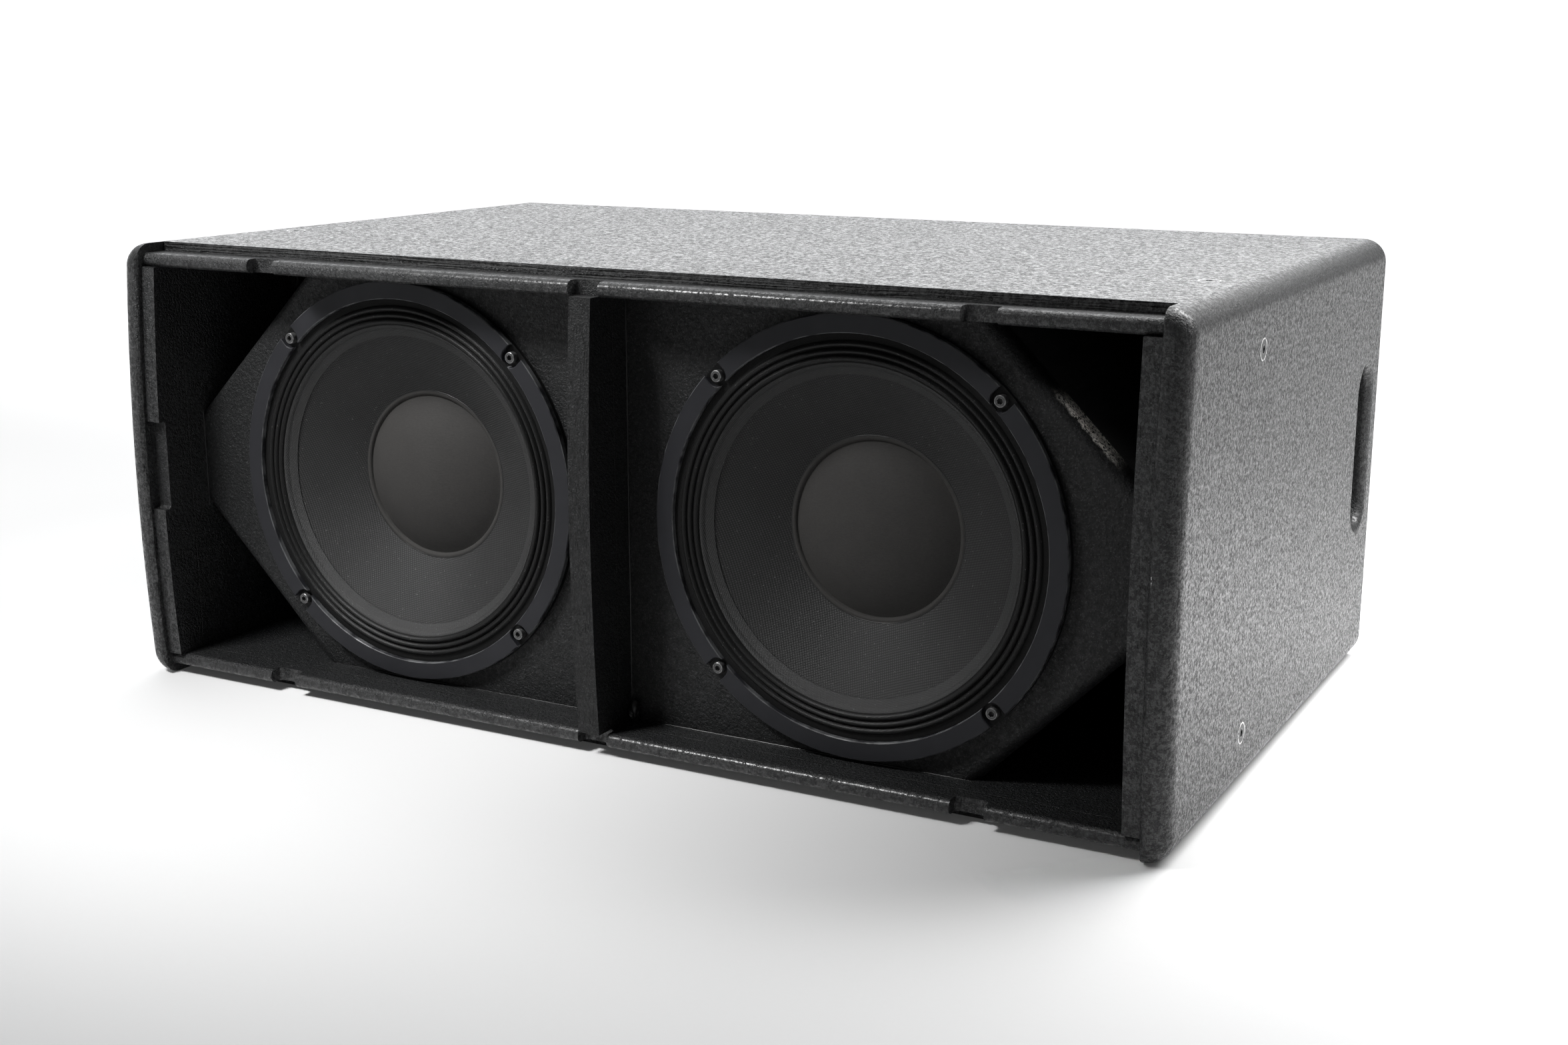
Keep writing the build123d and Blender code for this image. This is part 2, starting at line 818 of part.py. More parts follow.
    plate_front = basket_floor_depth + basket_floor_thickness
    plate_bore = former_radius + coil_thickness + pole_gap
    with BuildPart() as top_plate:
        with BuildSketch(front_plane(x, baffle_y + plate_front, middle_z)):
            Circle(top_plate_radius)
            Circle(plate_bore, mode=Mode.SUBTRACT)
        extrude(amount=-top_plate_thickness)
    finish(top_plate, f"top_plate_{side}")

    magnet_front = plate_front + top_plate_thickness
    with BuildPart() as magnet:
        with BuildSketch(front_plane(x, baffle_y + magnet_front, middle_z)):
            Circle(magnet_radius)
            Circle(magnet_bore_radius, mode=Mode.SUBTRACT)
        extrude(amount=-magnet_thickness)
        chamfer(magnet.edges().filter_by(GeomType.CIRCLE), 1.5)
    finish(magnet, f"magnet_{side}")

    back_front = magnet_front + magnet_thickness
    pole_radius = former_radius - former_thickness - pole_gap
    with BuildPart() as back_plate:
        with BuildSketch(front_plane(x, baffle_y + back_front, middle_z)):
            Circle(back_plate_radius)
        extrude(amount=-back_plate_thickness)
        with BuildSketch(front_plane(x, baffle_y + plate_front, middle_z)):
            Circle(pole_radius)
        extrude(amount=-(back_front - plate_front))
        with BuildSketch(front_plane(x, baffle_y + plate_front, middle_z)):
            Circle(vent_radius)
        extrude(amount=-(back_front - plate_front + back_plate_thickness), mode=Mode.SUBTRACT)
    finish(back_plate, f"back_plate_{side}")


for side, s in sides:
    driver(side, s * driver_x)

# Damping pads on the inside of the rear board
for side, s in sides:
    with BuildPart() as pad:
        with BuildSketch(front_plane(s * driver_x, rear_y - pad_thickness, middle_z)):
            RectangleRounded(pad_width, pad_height, pad_corner)
            if s * plate_x > 0:
                with Locations((plate_x - s * driver_x, 0)):
                    RectangleRounded(plate_width, plate_height, plate_corner, mode=Mode.SUBTRACT)
        extrude(amount=-pad_thickness)
    finish(pad, f"damping_pad_{side}")
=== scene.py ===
# %% [markdown]
# # A double twelve-inch bass cabinet
# The cabinet's boards, drivers, screws and back plate were drawn as exact solids, packed, and are loaded
# here as a fixed frame. This lesson gives each of them its finish, makes the soft and fine pieces again in
# mesh code, and sets up a pale studio round it. All lengths are metres, and each solid is already in its
# place.

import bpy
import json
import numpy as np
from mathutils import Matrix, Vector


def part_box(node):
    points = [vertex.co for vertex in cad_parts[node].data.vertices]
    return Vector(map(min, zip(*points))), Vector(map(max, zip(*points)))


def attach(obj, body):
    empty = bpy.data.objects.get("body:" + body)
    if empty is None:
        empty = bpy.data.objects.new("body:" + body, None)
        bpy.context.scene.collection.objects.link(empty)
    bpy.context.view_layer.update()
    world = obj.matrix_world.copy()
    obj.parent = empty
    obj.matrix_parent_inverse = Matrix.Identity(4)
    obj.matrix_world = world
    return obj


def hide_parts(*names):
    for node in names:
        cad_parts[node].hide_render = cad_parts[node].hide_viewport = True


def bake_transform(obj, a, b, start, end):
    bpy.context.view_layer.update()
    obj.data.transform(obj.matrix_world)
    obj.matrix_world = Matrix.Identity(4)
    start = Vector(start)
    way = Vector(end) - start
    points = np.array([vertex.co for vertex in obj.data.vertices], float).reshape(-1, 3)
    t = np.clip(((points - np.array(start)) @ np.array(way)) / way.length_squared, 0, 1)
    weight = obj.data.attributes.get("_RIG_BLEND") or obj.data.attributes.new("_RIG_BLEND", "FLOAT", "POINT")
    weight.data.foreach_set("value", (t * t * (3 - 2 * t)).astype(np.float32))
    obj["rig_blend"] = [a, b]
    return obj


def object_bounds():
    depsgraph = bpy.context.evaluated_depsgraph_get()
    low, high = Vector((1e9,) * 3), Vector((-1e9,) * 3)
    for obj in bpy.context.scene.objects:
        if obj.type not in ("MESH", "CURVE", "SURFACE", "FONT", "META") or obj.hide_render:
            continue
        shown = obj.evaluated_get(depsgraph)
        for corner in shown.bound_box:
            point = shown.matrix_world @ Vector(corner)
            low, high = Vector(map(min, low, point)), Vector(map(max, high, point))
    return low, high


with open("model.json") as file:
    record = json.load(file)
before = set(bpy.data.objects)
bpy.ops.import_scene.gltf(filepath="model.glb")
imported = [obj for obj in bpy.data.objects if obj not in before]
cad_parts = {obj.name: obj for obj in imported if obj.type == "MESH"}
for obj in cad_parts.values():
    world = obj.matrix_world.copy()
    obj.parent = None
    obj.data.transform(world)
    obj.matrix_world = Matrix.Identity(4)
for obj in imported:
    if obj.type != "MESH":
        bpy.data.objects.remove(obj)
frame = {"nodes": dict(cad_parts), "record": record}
cad_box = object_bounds()
print("CAD box", [round(v, 4) for corner in cad_box for v in corner])

# %% [markdown]
# Everything below needs Blender's own modules, mesh code and a little arithmetic. One number is used all
# over: a millimetre, because wood and drivers are thought of in millimetres while Blender counts in metres.

# %% Modules and the millimetre
import json
import math

import bmesh
import bpy
from mathutils import Matrix, Vector, noise

MM = 0.001
low, high = cad_box
middle = (low + high) / 2
print("size in mm", [round(v / MM) for v in high - low])

# %% [markdown]
# The camera stands in front of the cabinet and to its right, a little above it, and looks down at it. From
# about a metre and a half away, a lens of medium length keeps the sides' perspective natural. The camera is
# turned in three steps, as a head on a tripod is: round the upright, then tilted, then rolled a hair. The
# last lines make it the scene's camera and show colours as they are, without a film look.

# %% The camera
pan, tilt, roll = 0.495, -0.232, -0.002
stand = middle + Vector((0.7711, -1.3886, 0.3207))
lens = bpy.data.cameras.new("studio_lens")
lens.lens = 45.06
lens.sensor_width = 36
lens.clip_start, lens.clip_end = 0.05, 200
camera = bpy.data.objects.new("studio_camera", lens)
bpy.context.scene.collection.objects.link(camera)
turn = Matrix.Rotation(pan, 4, "Z") @ Matrix.Rotation(tilt, 4, "X") @ Matrix.Rotation(roll, 4, "Y")
camera.matrix_world = Matrix.Translation(stand) @ turn @ Matrix.Rotation(math.pi / 2, 4, "X")
bpy.context.scene.camera = camera
bpy.context.scene.view_settings.view_transform = "Standard"
print("camera at", [round(v, 3) for v in stand], "lens", round(lens.lens, 2), "mm")

# %% [markdown]
# Shader maths reads best when it looks like arithmetic. A Wire holds one output of a node, and adding to
# it, taking from it, multiplying it or taking its abs() puts in the Math node that does the sum. The
# reflected forms let a plain number come first, as in 1 - mask. Any other node comes from add(), which
# takes its type, its settings and its sockets.


# %% Wires for shader maths
class Wire:
    """One output of a material's nodes. Arithmetic on it adds Math nodes."""

    def __init__(self, socket):
        self.socket = socket

    def add(self, kind, settings, sockets, out=0):
        """Adds a node beside this one: type, settings, then the value or link of each socket."""
        tree = self.socket.id_data
        node = tree.nodes.new("ShaderNode" + kind)
        for name, value in settings.items():
            setattr(node, name, value)
        for key, value in sockets.items():
            if isinstance(value, Wire):
                tree.links.new(value.socket, node.inputs[key])
            else:
                node.inputs[key].default_value = value
        return Wire(node.outputs[out])

    def sum(self, operation, *terms):
        """A Math node: its operation, then its terms."""
        return self.add("Math", {"operation": operation}, dict(enumerate(terms)))

    def __add__(self, other):
        return self.sum("ADD", self, other)

    def __sub__(self, other):
        return self.sum("SUBTRACT", self, other)

    def __rsub__(self, other):
        return self.sum("SUBTRACT", other, self)

    def __mul__(self, other):
        return self.sum("MULTIPLY", self, other)

    def __abs__(self):
        return self.sum("ABSOLUTE", self)

    __radd__ = __add__
    __rmul__ = __mul__


print("a Wire can be added, subtracted, multiplied and made positive")

# %% [markdown]
# A finish starts from the place on the piece, in metres, because the solids carry no unwrapped skin. The
# helpers below are the few moves that nearly every finish makes: split the place into x, y and z, go
# smoothly from 0 to 1 between two values, stretch the place, make grain or cells of a given size, find the
# smallest of several distances, mix two colours, and raise or sink a bump.


# %% Helpers for finishes
def new_finish(name):
    """A material with its shader, and the place on the piece as a Wire."""
    finish = bpy.data.materials.new(name)
    finish.use_nodes = True
    spot = finish.node_tree.nodes.new("ShaderNodeTexCoord")
    return finish, Wire(spot.outputs["Object"])


def coat(finish, sockets):
    """Gives the finish's shader its values and links."""
    shader = finish.node_tree.nodes["Principled BSDF"]
    for name, value in sockets.items():
        if isinstance(value, Wire):
            finish.node_tree.links.new(value.socket, shader.inputs[name])
        else:
            shader.inputs[name].default_value = value
    print(finish.name, "has", len(finish.node_tree.nodes), "nodes")
    return finish


def split(spot):
    """x, y and z of a place, in metres."""
    parts = spot.add("SeparateXYZ", {}, {0: spot})
    node = parts.socket.node
    return [Wire(socket) for socket in node.outputs]


def step(value, start, end):
    """Goes smoothly from 0 at start to 1 at end."""
    settings = {"interpolation_type": "SMOOTHSTEP"}
    return value.add("MapRange", settings, {0: value, 1: start, 2: end, 3: 0.0, 4: 1.0})


def stretch(spot, factors):
    """Scales the place along x, y and z, which draws a texture out where a factor is small."""
    return spot.add("VectorMath", {"operation": "MULTIPLY"}, {0: spot, 1: factors})


def grain(spot, size, detail=2.0, roughness=0.5):
    """Soft random grain, about size metres from one lump to the next."""
    sockets = {"Vector": spot, "Scale": 1 / size, "Detail": detail, "Roughness": roughness}
    return spot.add("TexNoise", {}, sockets)


def cells(spot, size, smoothness):
    """Rounded cells: 0 at each one's middle, rising to its edge."""
    sockets = {"Vector": spot, "Scale": 1 / size, "Smoothness": smoothness}
    return spot.add("TexVoronoi", {"feature": "SMOOTH_F1"}, sockets)


def least(values):
    """The smallest of several wires."""
    found = values[0]
    for value in values[1:]:
        found = found.sum("MINIMUM", found, value)
    return found


def colours(share, first, second):
    """First colour where share is 0, second where it is 1."""
    sockets = {0: share, 6: first, 7: second}
    return share.add("Mix", {"data_type": "RGBA"}, sockets, out=2)


def raised(height, depth, strength):
    """A bump of that depth in metres."""
    return height.add("Bump", {}, {"Height": height, "Distance": depth, "Strength": strength})


def grey(value, blue=0.0):
    """A neutral colour, or a bluish one."""
    return (value, value * (1 + blue / 2), value * (1 + blue), 1)


print("helpers ready, mid grey is", grey(0.18))

# %% [markdown]
# The frame's boxes say where the boards and drivers are. The drivers' axes run along y through the middle
# of each dust cap. The places that the finishes need are the foremost edge, the riser behind the lip, where
# the grille would stand, and the slanted edge across each baffle's corner, whose two legs are equally long.

# %% Places taken from the CAD boxes
front = low.y
lip_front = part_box("top_panel")[0].y
lip_depth = 23 * MM
riser_y = lip_front + lip_depth
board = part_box("bottom_panel")[1].z - low.z
baffle_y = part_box("baffle_right")[0].y
liner_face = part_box("liner_right")[0].x
leg = 118 * MM
drivers = {}
for side in ("left", "right"):
    cap_low, cap_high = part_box(f"dust_cap_{side}")
    drivers[side] = (cap_low + cap_high) / 2
print("baffle face at y", round(baffle_y, 4), "drivers at x", [round(c.x, 4) for c in drivers.values()])

# %% [markdown]
# The cabinet is sprayed with a hard structured paint: a black coat full of pebbles a millimetre or two
# across, whose tops catch the light and are glossier while the hollows stay dull. The tops are also painted
# paler than the hollows, as a painted highlight, and the hollows darker, as painted shade, and a few pale
# flecks are painted glints. Two sizes of cell and a fine grain make the pebbles, and a clear coat that comes
# and goes makes patches and single pebbles glint at a low angle.
# Paint goes thin and wears on the sides' front rims, where the plies' end grain shows as small upright
# pits, and the riser behind the lip shows its plies as lines along the board. A second version, for the
# boards inside, is painted darker, as painted shade for chambers that little light reaches, and is duller.
# In one place on a baffle's slanted edge a pale broken streak is painted in as a painted highlight, and sunk
# a little.


# %% Structured black paint
def structured_paint(name, light, dark, pebble, lustre, glint, bend, edge_highlight=False):
    """light and dark are the colours painted on the pebbles' tops and hollows, a painted highlight and
    painted shade; pebble is their height in mm, bend the paint's IOR.
    """
    finish, spot = new_finish(name)
    x, y, z = split(spot)
    # The pebbles, and the patches and points where they glint.
    coarse = cells(spot, 2.6 * MM, 0.5)
    small = cells(spot, 1.2 * MM, 0.3)
    fine = grain(spot, 0.6 * MM, 3.0, 0.6)
    drift = grain(spot, 90 * MM, 2.0)
    pebbles = (1 - coarse) * 0.55 + (1 - small) * 0.45 + fine * 0.4
    sparkle = step(grain(spot, 2.6 * MM, 2.0, 0.75), 0.46, 0.60)
    mottle = step(grain(spot, 6 * MM, 3.0, 0.75), 0.42, 0.60)
    # Pits along the worn rim, and the plies' lines on the riser.
    rim = 1 - step(y, front + 7 * MM, front + 13 * MM)
    ends = grain(stretch(spot, (1.0, 0.35, 0.12)), 1.4 * MM, 2.0, 0.7)
    pits = rim * step(ends, 0.56, 0.66)
    near_riser = 1 - step(abs(y - riser_y), 0.3 * MM, 0.9 * MM)
    lines = grain(stretch(spot, (0.02, 1.0, 1.0)), 1.3 * MM, 1.0)
    plies = near_riser * step(lines, 0.42, 0.6)
    height = pebbles * pebble - pits * 0.9 - plies * 1.4
    # Colour and dullness: tops painted pale as a painted highlight, hollows dark as painted shade, and a few
    # paler flecks that are painted glints.
    tops = step(pebbles, 0.74, 1.02)
    painted_glints = step(grain(spot, 1.1 * MM, 1.0), 0.62, 0.72)
    base = colours(tops * (0.45 + mottle * 0.55), grey(dark, 0.12), grey(light, 0.08))
    base = colours(painted_glints * 0.55, base, grey(light * 3.6, 0.04))
    base = colours(pits + plies, base, grey(0.003))
    rough = lustre + fine * 0.14 + drift * 0.06 - tops * 0.13
    coat_share = (sparkle * 0.70 + mottle * 0.30) * glint
    # Painted highlight: a pale broken streak, by the distance down the slanted edge and away from it.
    if edge_highlight:
        corner_x, corner_z = liner_face - leg, high.z - board
        down = (x - corner_x + corner_z - z) * (0.5 / leg)
        from_edge = (x - corner_x - corner_z + z) * -math.sqrt(0.5)
        place = step(down, 0.36, 0.50) * (1 - step(down, 0.66, 0.80))
        edge = 1 - step(from_edge + grain(spot, 5 * MM, 3.0, 0.7) * 3 * MM, 2.4 * MM, 3.8 * MM)
        broken_patches = edge * place * step(grain(spot, 1.7 * MM, 3.0, 0.7), 0.38, 0.56)
        # The pale colour is a painted highlight along the edge, and the same patches are sunk a little
        # below.
        base = colours(broken_patches, base, (0.78, 0.75, 0.70, 1))
        height = height - broken_patches * 0.6
    return coat(finish, {
        "Base Color": base,
        "Roughness": rough,
        "Coat Weight": coat_share,
        "Coat Roughness": 0.28,
        "IOR": bend,
        "Normal": raised(height, 1.0 * MM, 1.0),
    })


paint = structured_paint(
    "structured_black_paint",
    light=0.020, dark=0.005, pebble=1.0, lustre=0.44, glint=1.0, bend=1.44,
)
# The inside version is painted darker, as painted shade.
shaded_inside_paint = structured_paint(
    "structured_black_paint_shaded_inside",
    light=0.014, dark=0.0035, pebble=0.9, lustre=0.50, glint=0.25, bend=1.36, edge_highlight=True,
)

# %% [markdown]
# Inside the ports the paint is thin and dull, over plywood whose grain still shows as soft streaks, and its
# colours are painted lighter than the outside paint, as painted light for ports that the lamps barely reach.
# The braces stay bare birch plywood, which is pale and finely streaked. Both come from one recipe, because
# only the colours, the size of the streaks and the dullness differ.


# %% Thin paint and bare plywood
def board_wood(name, light, dark, streak_size, dullness):
    """Streaks and pores along the board, over broad growth rings."""
    finish, spot = new_finish(name)
    streaks = grain(stretch(spot, (0.25, 0.08, 1.0)), streak_size, 3.0, 0.6)
    rings = grain(stretch(spot, (1.0, 0.05, 1.0)), 11 * MM, 2.0)
    pores = step(grain(stretch(spot, (1.0, 0.08, 1.0)), 0.7 * MM, 1.0), 0.6, 0.72)
    base = colours(streaks * 0.7 + rings * 0.3, light, dark)
    base = colours(pores * 0.5, base, dark)
    height = streaks * 0.4 - pores
    return coat(finish, {
        "Base Color": base,
        "Roughness": dullness + rings * 0.15,
        "Normal": raised(height, 0.15 * MM, 0.7),
    })


# The port paint's colours are painted lighter, as painted light inside the ports.
lightened_port_paint = board_wood("port_paint_painted_lighter", grey(0.055), grey(0.020), streak_size=3 * MM, dullness=0.6)
birch = board_wood(
    "bare_birch_plywood", (0.56, 0.42, 0.27, 1), (0.36, 0.24, 0.13, 1), streak_size=2.4 * MM, dullness=0.55,
)

# %% [markdown]
# Metal, plastic and coil parts share one small recipe: a base colour with a drift in it, a few handling
# marks, and a texture at the scale of the tool or the mould, which also breaks up the gloss. Keeping them
# in one function means that each finish is a line of numbers, easy to compare with its neighbours: light
# and dark colour, metal or not, dullness, and the texture's size and depth.


# %% Recipe for metals and plastics
def hard_finish(name, light, dark, metal, dullness, texture, depth, streaks=(1, 1, 1), extra=None):
    """streaks draws the texture out, as in stretch(); extra holds sockets that only this finish sets."""
    finish, spot = new_finish(name)
    surface = grain(stretch(spot, streaks), texture, 3.0, 0.6)
    drift = grain(spot, 25 * MM, 2.0)
    marks = step(grain(stretch(spot, (1.0, 0.3, 1.0)), 4 * MM, 2.0, 0.8), 0.66, 0.74)
    base = colours(surface * 0.5 + drift * 0.5, light, dark)
    base = colours(marks * 0.35, base, light)
    sockets = {
        "Base Color": base,
        "Metallic": metal,
        "Roughness": dullness + surface * 0.15 - marks * 0.06,
        "Normal": raised(surface, depth, 0.8),
    }
    sockets.update(extra or {})
    return coat(finish, sockets)


cast_frame = hard_finish(
    "cast_frame_black", grey(0.006), grey(0.002), 0.0, 0.46, 1.2 * MM, 0.15 * MM, extra={"IOR": 1.25},
)
plate_coat = hard_finish("back_plate_black", grey(0.030), grey(0.014), 0.0, 0.36, 0.5 * MM, 0.05 * MM)
moulding = hard_finish("moulded_black_plastic", grey(0.022), grey(0.012), 0.0, 0.40, 0.7 * MM, 0.06 * MM)
terminal = hard_finish("terminal_plastic", grey(0.05), grey(0.03), 0.0, 0.45, 0.8 * MM, 0.05 * MM)
zinc = hard_finish("zinc_steel", grey(0.62, 0.06), grey(0.44, 0.04), 1.0, 0.30, 0.9 * MM, 0.03 * MM)
ferrite = hard_finish("ferrite_magnet", grey(0.075), grey(0.040), 0.0, 0.62, 0.8 * MM, 0.12 * MM)
copper = hard_finish(
    "enamelled_copper", (0.62, 0.27, 0.12, 1), (0.42, 0.15, 0.06, 1), 1.0, 0.26, 0.45 * MM, 0.10 * MM,
    streaks=(0.05, 1.0, 0.05),
)
film = hard_finish(
    "former_film", (0.38, 0.24, 0.09, 1), (0.26, 0.15, 0.05, 1), 0.0, 0.28, 1.5 * MM, 0.02 * MM,
)
foam = hard_finish("seal_foam", grey(0.018), grey(0.006), 0.0, 0.85, 0.9 * MM, 0.35 * MM)

# %% [markdown]
# The four gasket arcs that clamp each surround are flat satin plastic, a black with some blue in it.
# Their thin outer and inner chamfers are glossier and painted lighter in patches, partly as wear from
# handling and partly as a painted highlight along the edges. The distance from the driver's axis says where
# a chamfer is, and both drivers share one finish because the distance is taken to the nearer axis.


# %% Gasket plastic with polished edges
def from_axes(spot):
    """Distance from the nearer driver's axis, in metres."""
    x, _, z = split(spot)
    across = abs(x) - abs(drivers["right"].x)
    up = z - drivers["right"].z
    return across.sum("SQRT", across * across + up * up)


def gasket_finish():
    finish, spot = new_finish("satin_gasket_plastic")
    radius = from_axes(spot)
    ring_low, ring_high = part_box("gasket_arcs_right")
    arc_width = 13.5 * MM
    outside = (ring_high.x - ring_low.x) / 2
    inside = outside - arc_width
    edge = step(radius, outside - 0.8 * MM, outside - 0.3 * MM)
    edge = edge + 1 - step(radius, inside + 0.3 * MM, inside + 0.8 * MM)
    wear_and_edge_highlight = edge * step(grain(spot, 14 * MM, 3.0), 0.35, 0.62)
    fine = grain(spot, 0.45 * MM, 2.0)
    smear = grain(spot, 35 * MM, 3.0, 0.6)
    base = colours(smear, (0.0165, 0.0168, 0.0198, 1), (0.0100, 0.0102, 0.0122, 1))
    # The chamfers' lighter colour is partly wear and partly a painted highlight.
    base = colours(wear_and_edge_highlight * 0.8, base, grey(0.12, 0.05))
    return coat(finish, {
        "Base Color": base,
        "IOR": 1.32,
        "Roughness": 0.44 + smear * 0.16 + fine * 0.06 - wear_and_edge_highlight * 0.18,
        "Normal": raised(fine, 0.03 * MM, 0.8),
    })


gasket_plastic = gasket_finish()

# %% [markdown]
# The drivers' screws are blackened steel. A key and the store box rub the blacking from a head's rim and
# from the edge of its socket, so bare metal shines there in rings, while the socket itself is painted
# near-black, as painted shade in the recess.
# There are eight screws, so each one's own axis has to be found: the helper takes the distance to the
# nearest of the listed places.


# %% Blackened screws with bright rims
def nearest(first, second, places):
    """Distance in a plane to the nearest of the places."""
    gaps = []
    for a, b in places:
        da, db = first - a, second - b
        gaps.append(first.sum("SQRT", da * da + db * db))
    return least(gaps)


def screw_finish(name, places, rim, socket):
    """places are the screws' x and z; rim and socket are the radii of the two bright rings."""
    finish, spot = new_finish(name)
    x, _, z = split(spot)
    reach = nearest(x, z, places)
    rings = 1 - step(abs(reach - rim), 0.20 * MM, 0.60 * MM)
    rings = rings + 0.6 - step(abs(reach - socket), 0.10 * MM, 0.40 * MM) * 0.6
    # The socket is painted near-black, as painted shade in the recess.
    painted_socket_shade = 1 - step(reach, socket - 0.5 * MM, socket - 0.2 * MM)
    fine = grain(spot, 0.5 * MM, 3.0, 0.6)
    bare = rings * step(grain(spot, 2.2 * MM, 2.0), 0.30, 0.60)
    base = colours(bare, grey(0.030), grey(0.24))
    base = colours(painted_socket_shade, base, grey(0.004))
    return coat(finish, {
        "Base Color": base,
        "Metallic": step(bare, 0.1, 0.6) * (1 - painted_socket_shade),
        "Roughness": 0.42 - bare * 0.10 + fine * 0.12,
        "Normal": raised(fine, 0.05 * MM, 0.7),
    })


bolt_radius = 150 * MM
screw_side = bolt_radius / math.sqrt(2)
centre_x, centre_z = drivers["right"].x, drivers["right"].z
driver_places = [
    (s * centre_x + a * screw_side, centre_z + b * screw_side)
    for s in (-1, 1) for a in (-1, 1) for b in (-1, 1)
]
driver_screw = screw_finish("driver_screw_steel", driver_places, rim=3.8 * MM, socket=2.25 * MM)

# %% [markdown]
# The flying points in the skins are blanked with countersunk screws. They face up, down and sideways, so
# rings about one direction won't do. Instead the finish takes the distance to the nearest screw head's
# middle in space, which is the same thing on a flat head. Tools have chipped the blacking round each head's
# rim, so bright steel shows there.


# %% Countersunk blanking screws
def blanking_finish():
    finish, spot = new_finish("blanking_screw_steel")
    from_front, from_middle, from_mid_height = 169 * MM, 398 * MM, 134 * MM
    rim_radius, hex_radius = 7.5 * MM, 3.0 * MM
    point_y = front + from_front
    heads = [(s * from_middle, point_y, h) for s in (-1, 1) for h in (low.z, high.z)]
    heads += [(s * high.x, point_y, middle.z + r * from_mid_height) for s in (-1, 1) for r in (-1, 1)]
    gap_to = {"operation": "DISTANCE"}
    found = least([spot.add("VectorMath", gap_to, {0: spot, 1: head}, out=1) for head in heads])
    rim = 1 - step(abs(found - rim_radius), 0.4 * MM, 0.9 * MM)
    hex_edge = 1 - step(abs(found - hex_radius), 0.15 * MM, 0.4 * MM)
    # The hex socket is painted near-black, as painted shade in the recess.
    painted_socket_shade = 1 - step(found, hex_radius - 0.5 * MM, hex_radius - 0.1 * MM)
    broken_patches = step(grain(spot, 2.6 * MM, 3.0, 0.7), 0.34, 0.54)
    bare = (rim + hex_edge * 0.25) * broken_patches
    fine = grain(spot, 0.5 * MM, 3.0)
    return coat(finish, {
        "Base Color": colours(painted_socket_shade, colours(bare, grey(0.035), grey(0.80)), grey(0.003)),
        "Metallic": step(bare, 0.1, 0.7) * (1 - painted_socket_shade),
        "Roughness": 0.40 - bare * 0.12 + fine * 0.10 + painted_socket_shade * 0.5,
        "Normal": raised(fine, 0.05 * MM, 0.7),
    })


blanking_screw = blanking_finish()
back_screw = hard_finish("back_screw_steel", grey(0.05), grey(0.020), 0.3, 0.34, 0.6 * MM, 0.04 * MM)

# %% [markdown]
# The surround is cotton cloth soaked in black doping, so its threads still show as a fine rib under a soft
# shine. The valleys between its three rolls, and the outer landing beside the gasket arcs, are painted
# near-black and made duller, as painted shade in the creases and in the arcs' shadow. The cone is woven
# cloth in black resin: a square weave about a millimetre and a half from thread to thread, straight across
# the cone, because cloth is pressed to shape from a flat sheet. The dust cap is felted pulp, dull and
# slightly warm, with fibres but no weave, and the wadding is a loose grey felt.


# %% Cloth, weave and felt
ROLL_COUNT = 3


def weave(spot, pitch, angle):
    """Over-and-under threads of a square weave, seen along the driver's axis."""
    x, _, z = split(spot)
    turn_x, turn_z = math.cos(angle), math.sin(angle)
    u = (x * turn_x + z * turn_z) * (2 * math.pi / pitch)
    v = (z * turn_x - x * turn_z) * (2 * math.pi / pitch)
    return abs(u.sum("SINE", u * 0.5) * v.sum("SINE", v * 0.5))


def cloth_finish(name, light, dark, pitch, depth, dullness, fuzz, sheen=0.0, bend=1.5, rolls=None):
    """pitch and depth are the threads', fuzz is the fibres' size; the rolls run between two radii."""
    finish, spot = new_finish(name)
    threads = weave(spot, pitch, angle=0.35)
    fibres = grain(spot, fuzz, 3.0, 0.7)
    drift = grain(spot, 40 * MM, 3.0)
    dust = step(grain(spot, 1.6 * MM, 1.0), 0.73, 0.76)
    base = colours(threads * 0.75 + fibres * 0.35, dark, light)
    base = colours(drift * 0.35, base, dark)
    base = colours(dust * 0.5, base, grey(0.12))
    rough = dullness + fibres * 0.15
    if rolls:
        start, end = rolls
        radius = from_axes(spot)
        turns = (radius - start) * (ROLL_COUNT * math.pi / (end - start))
        # The valleys and the outer landing are painted near-black, as painted shade.
        valley_shade = step(1 - abs(turns.sum("SINE", turns)), 0.35, 0.90)
        painted_shade = valley_shade.sum("MAXIMUM", valley_shade, step(radius, end - 0.6 * MM, end + 0.2 * MM))
        base = colours(painted_shade, base, grey(0.0012))
        rough = rough + painted_shade * 0.35
    height = threads + fibres * 0.5
    return coat(finish, {
        "Base Color": base,
        "Roughness": rough,
        "Normal": raised(height, depth, 0.8),
        "IOR": bend,
        "Sheen Weight": sheen,
        "Sheen Roughness": 0.5,
    })


def place_of(node):
    """Radius and depths of a turned solid: outer radius, foremost y, rearmost y."""
    box_low, box_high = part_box(node)
    return (box_high.x - box_low.x) / 2, box_low.y, box_high.y


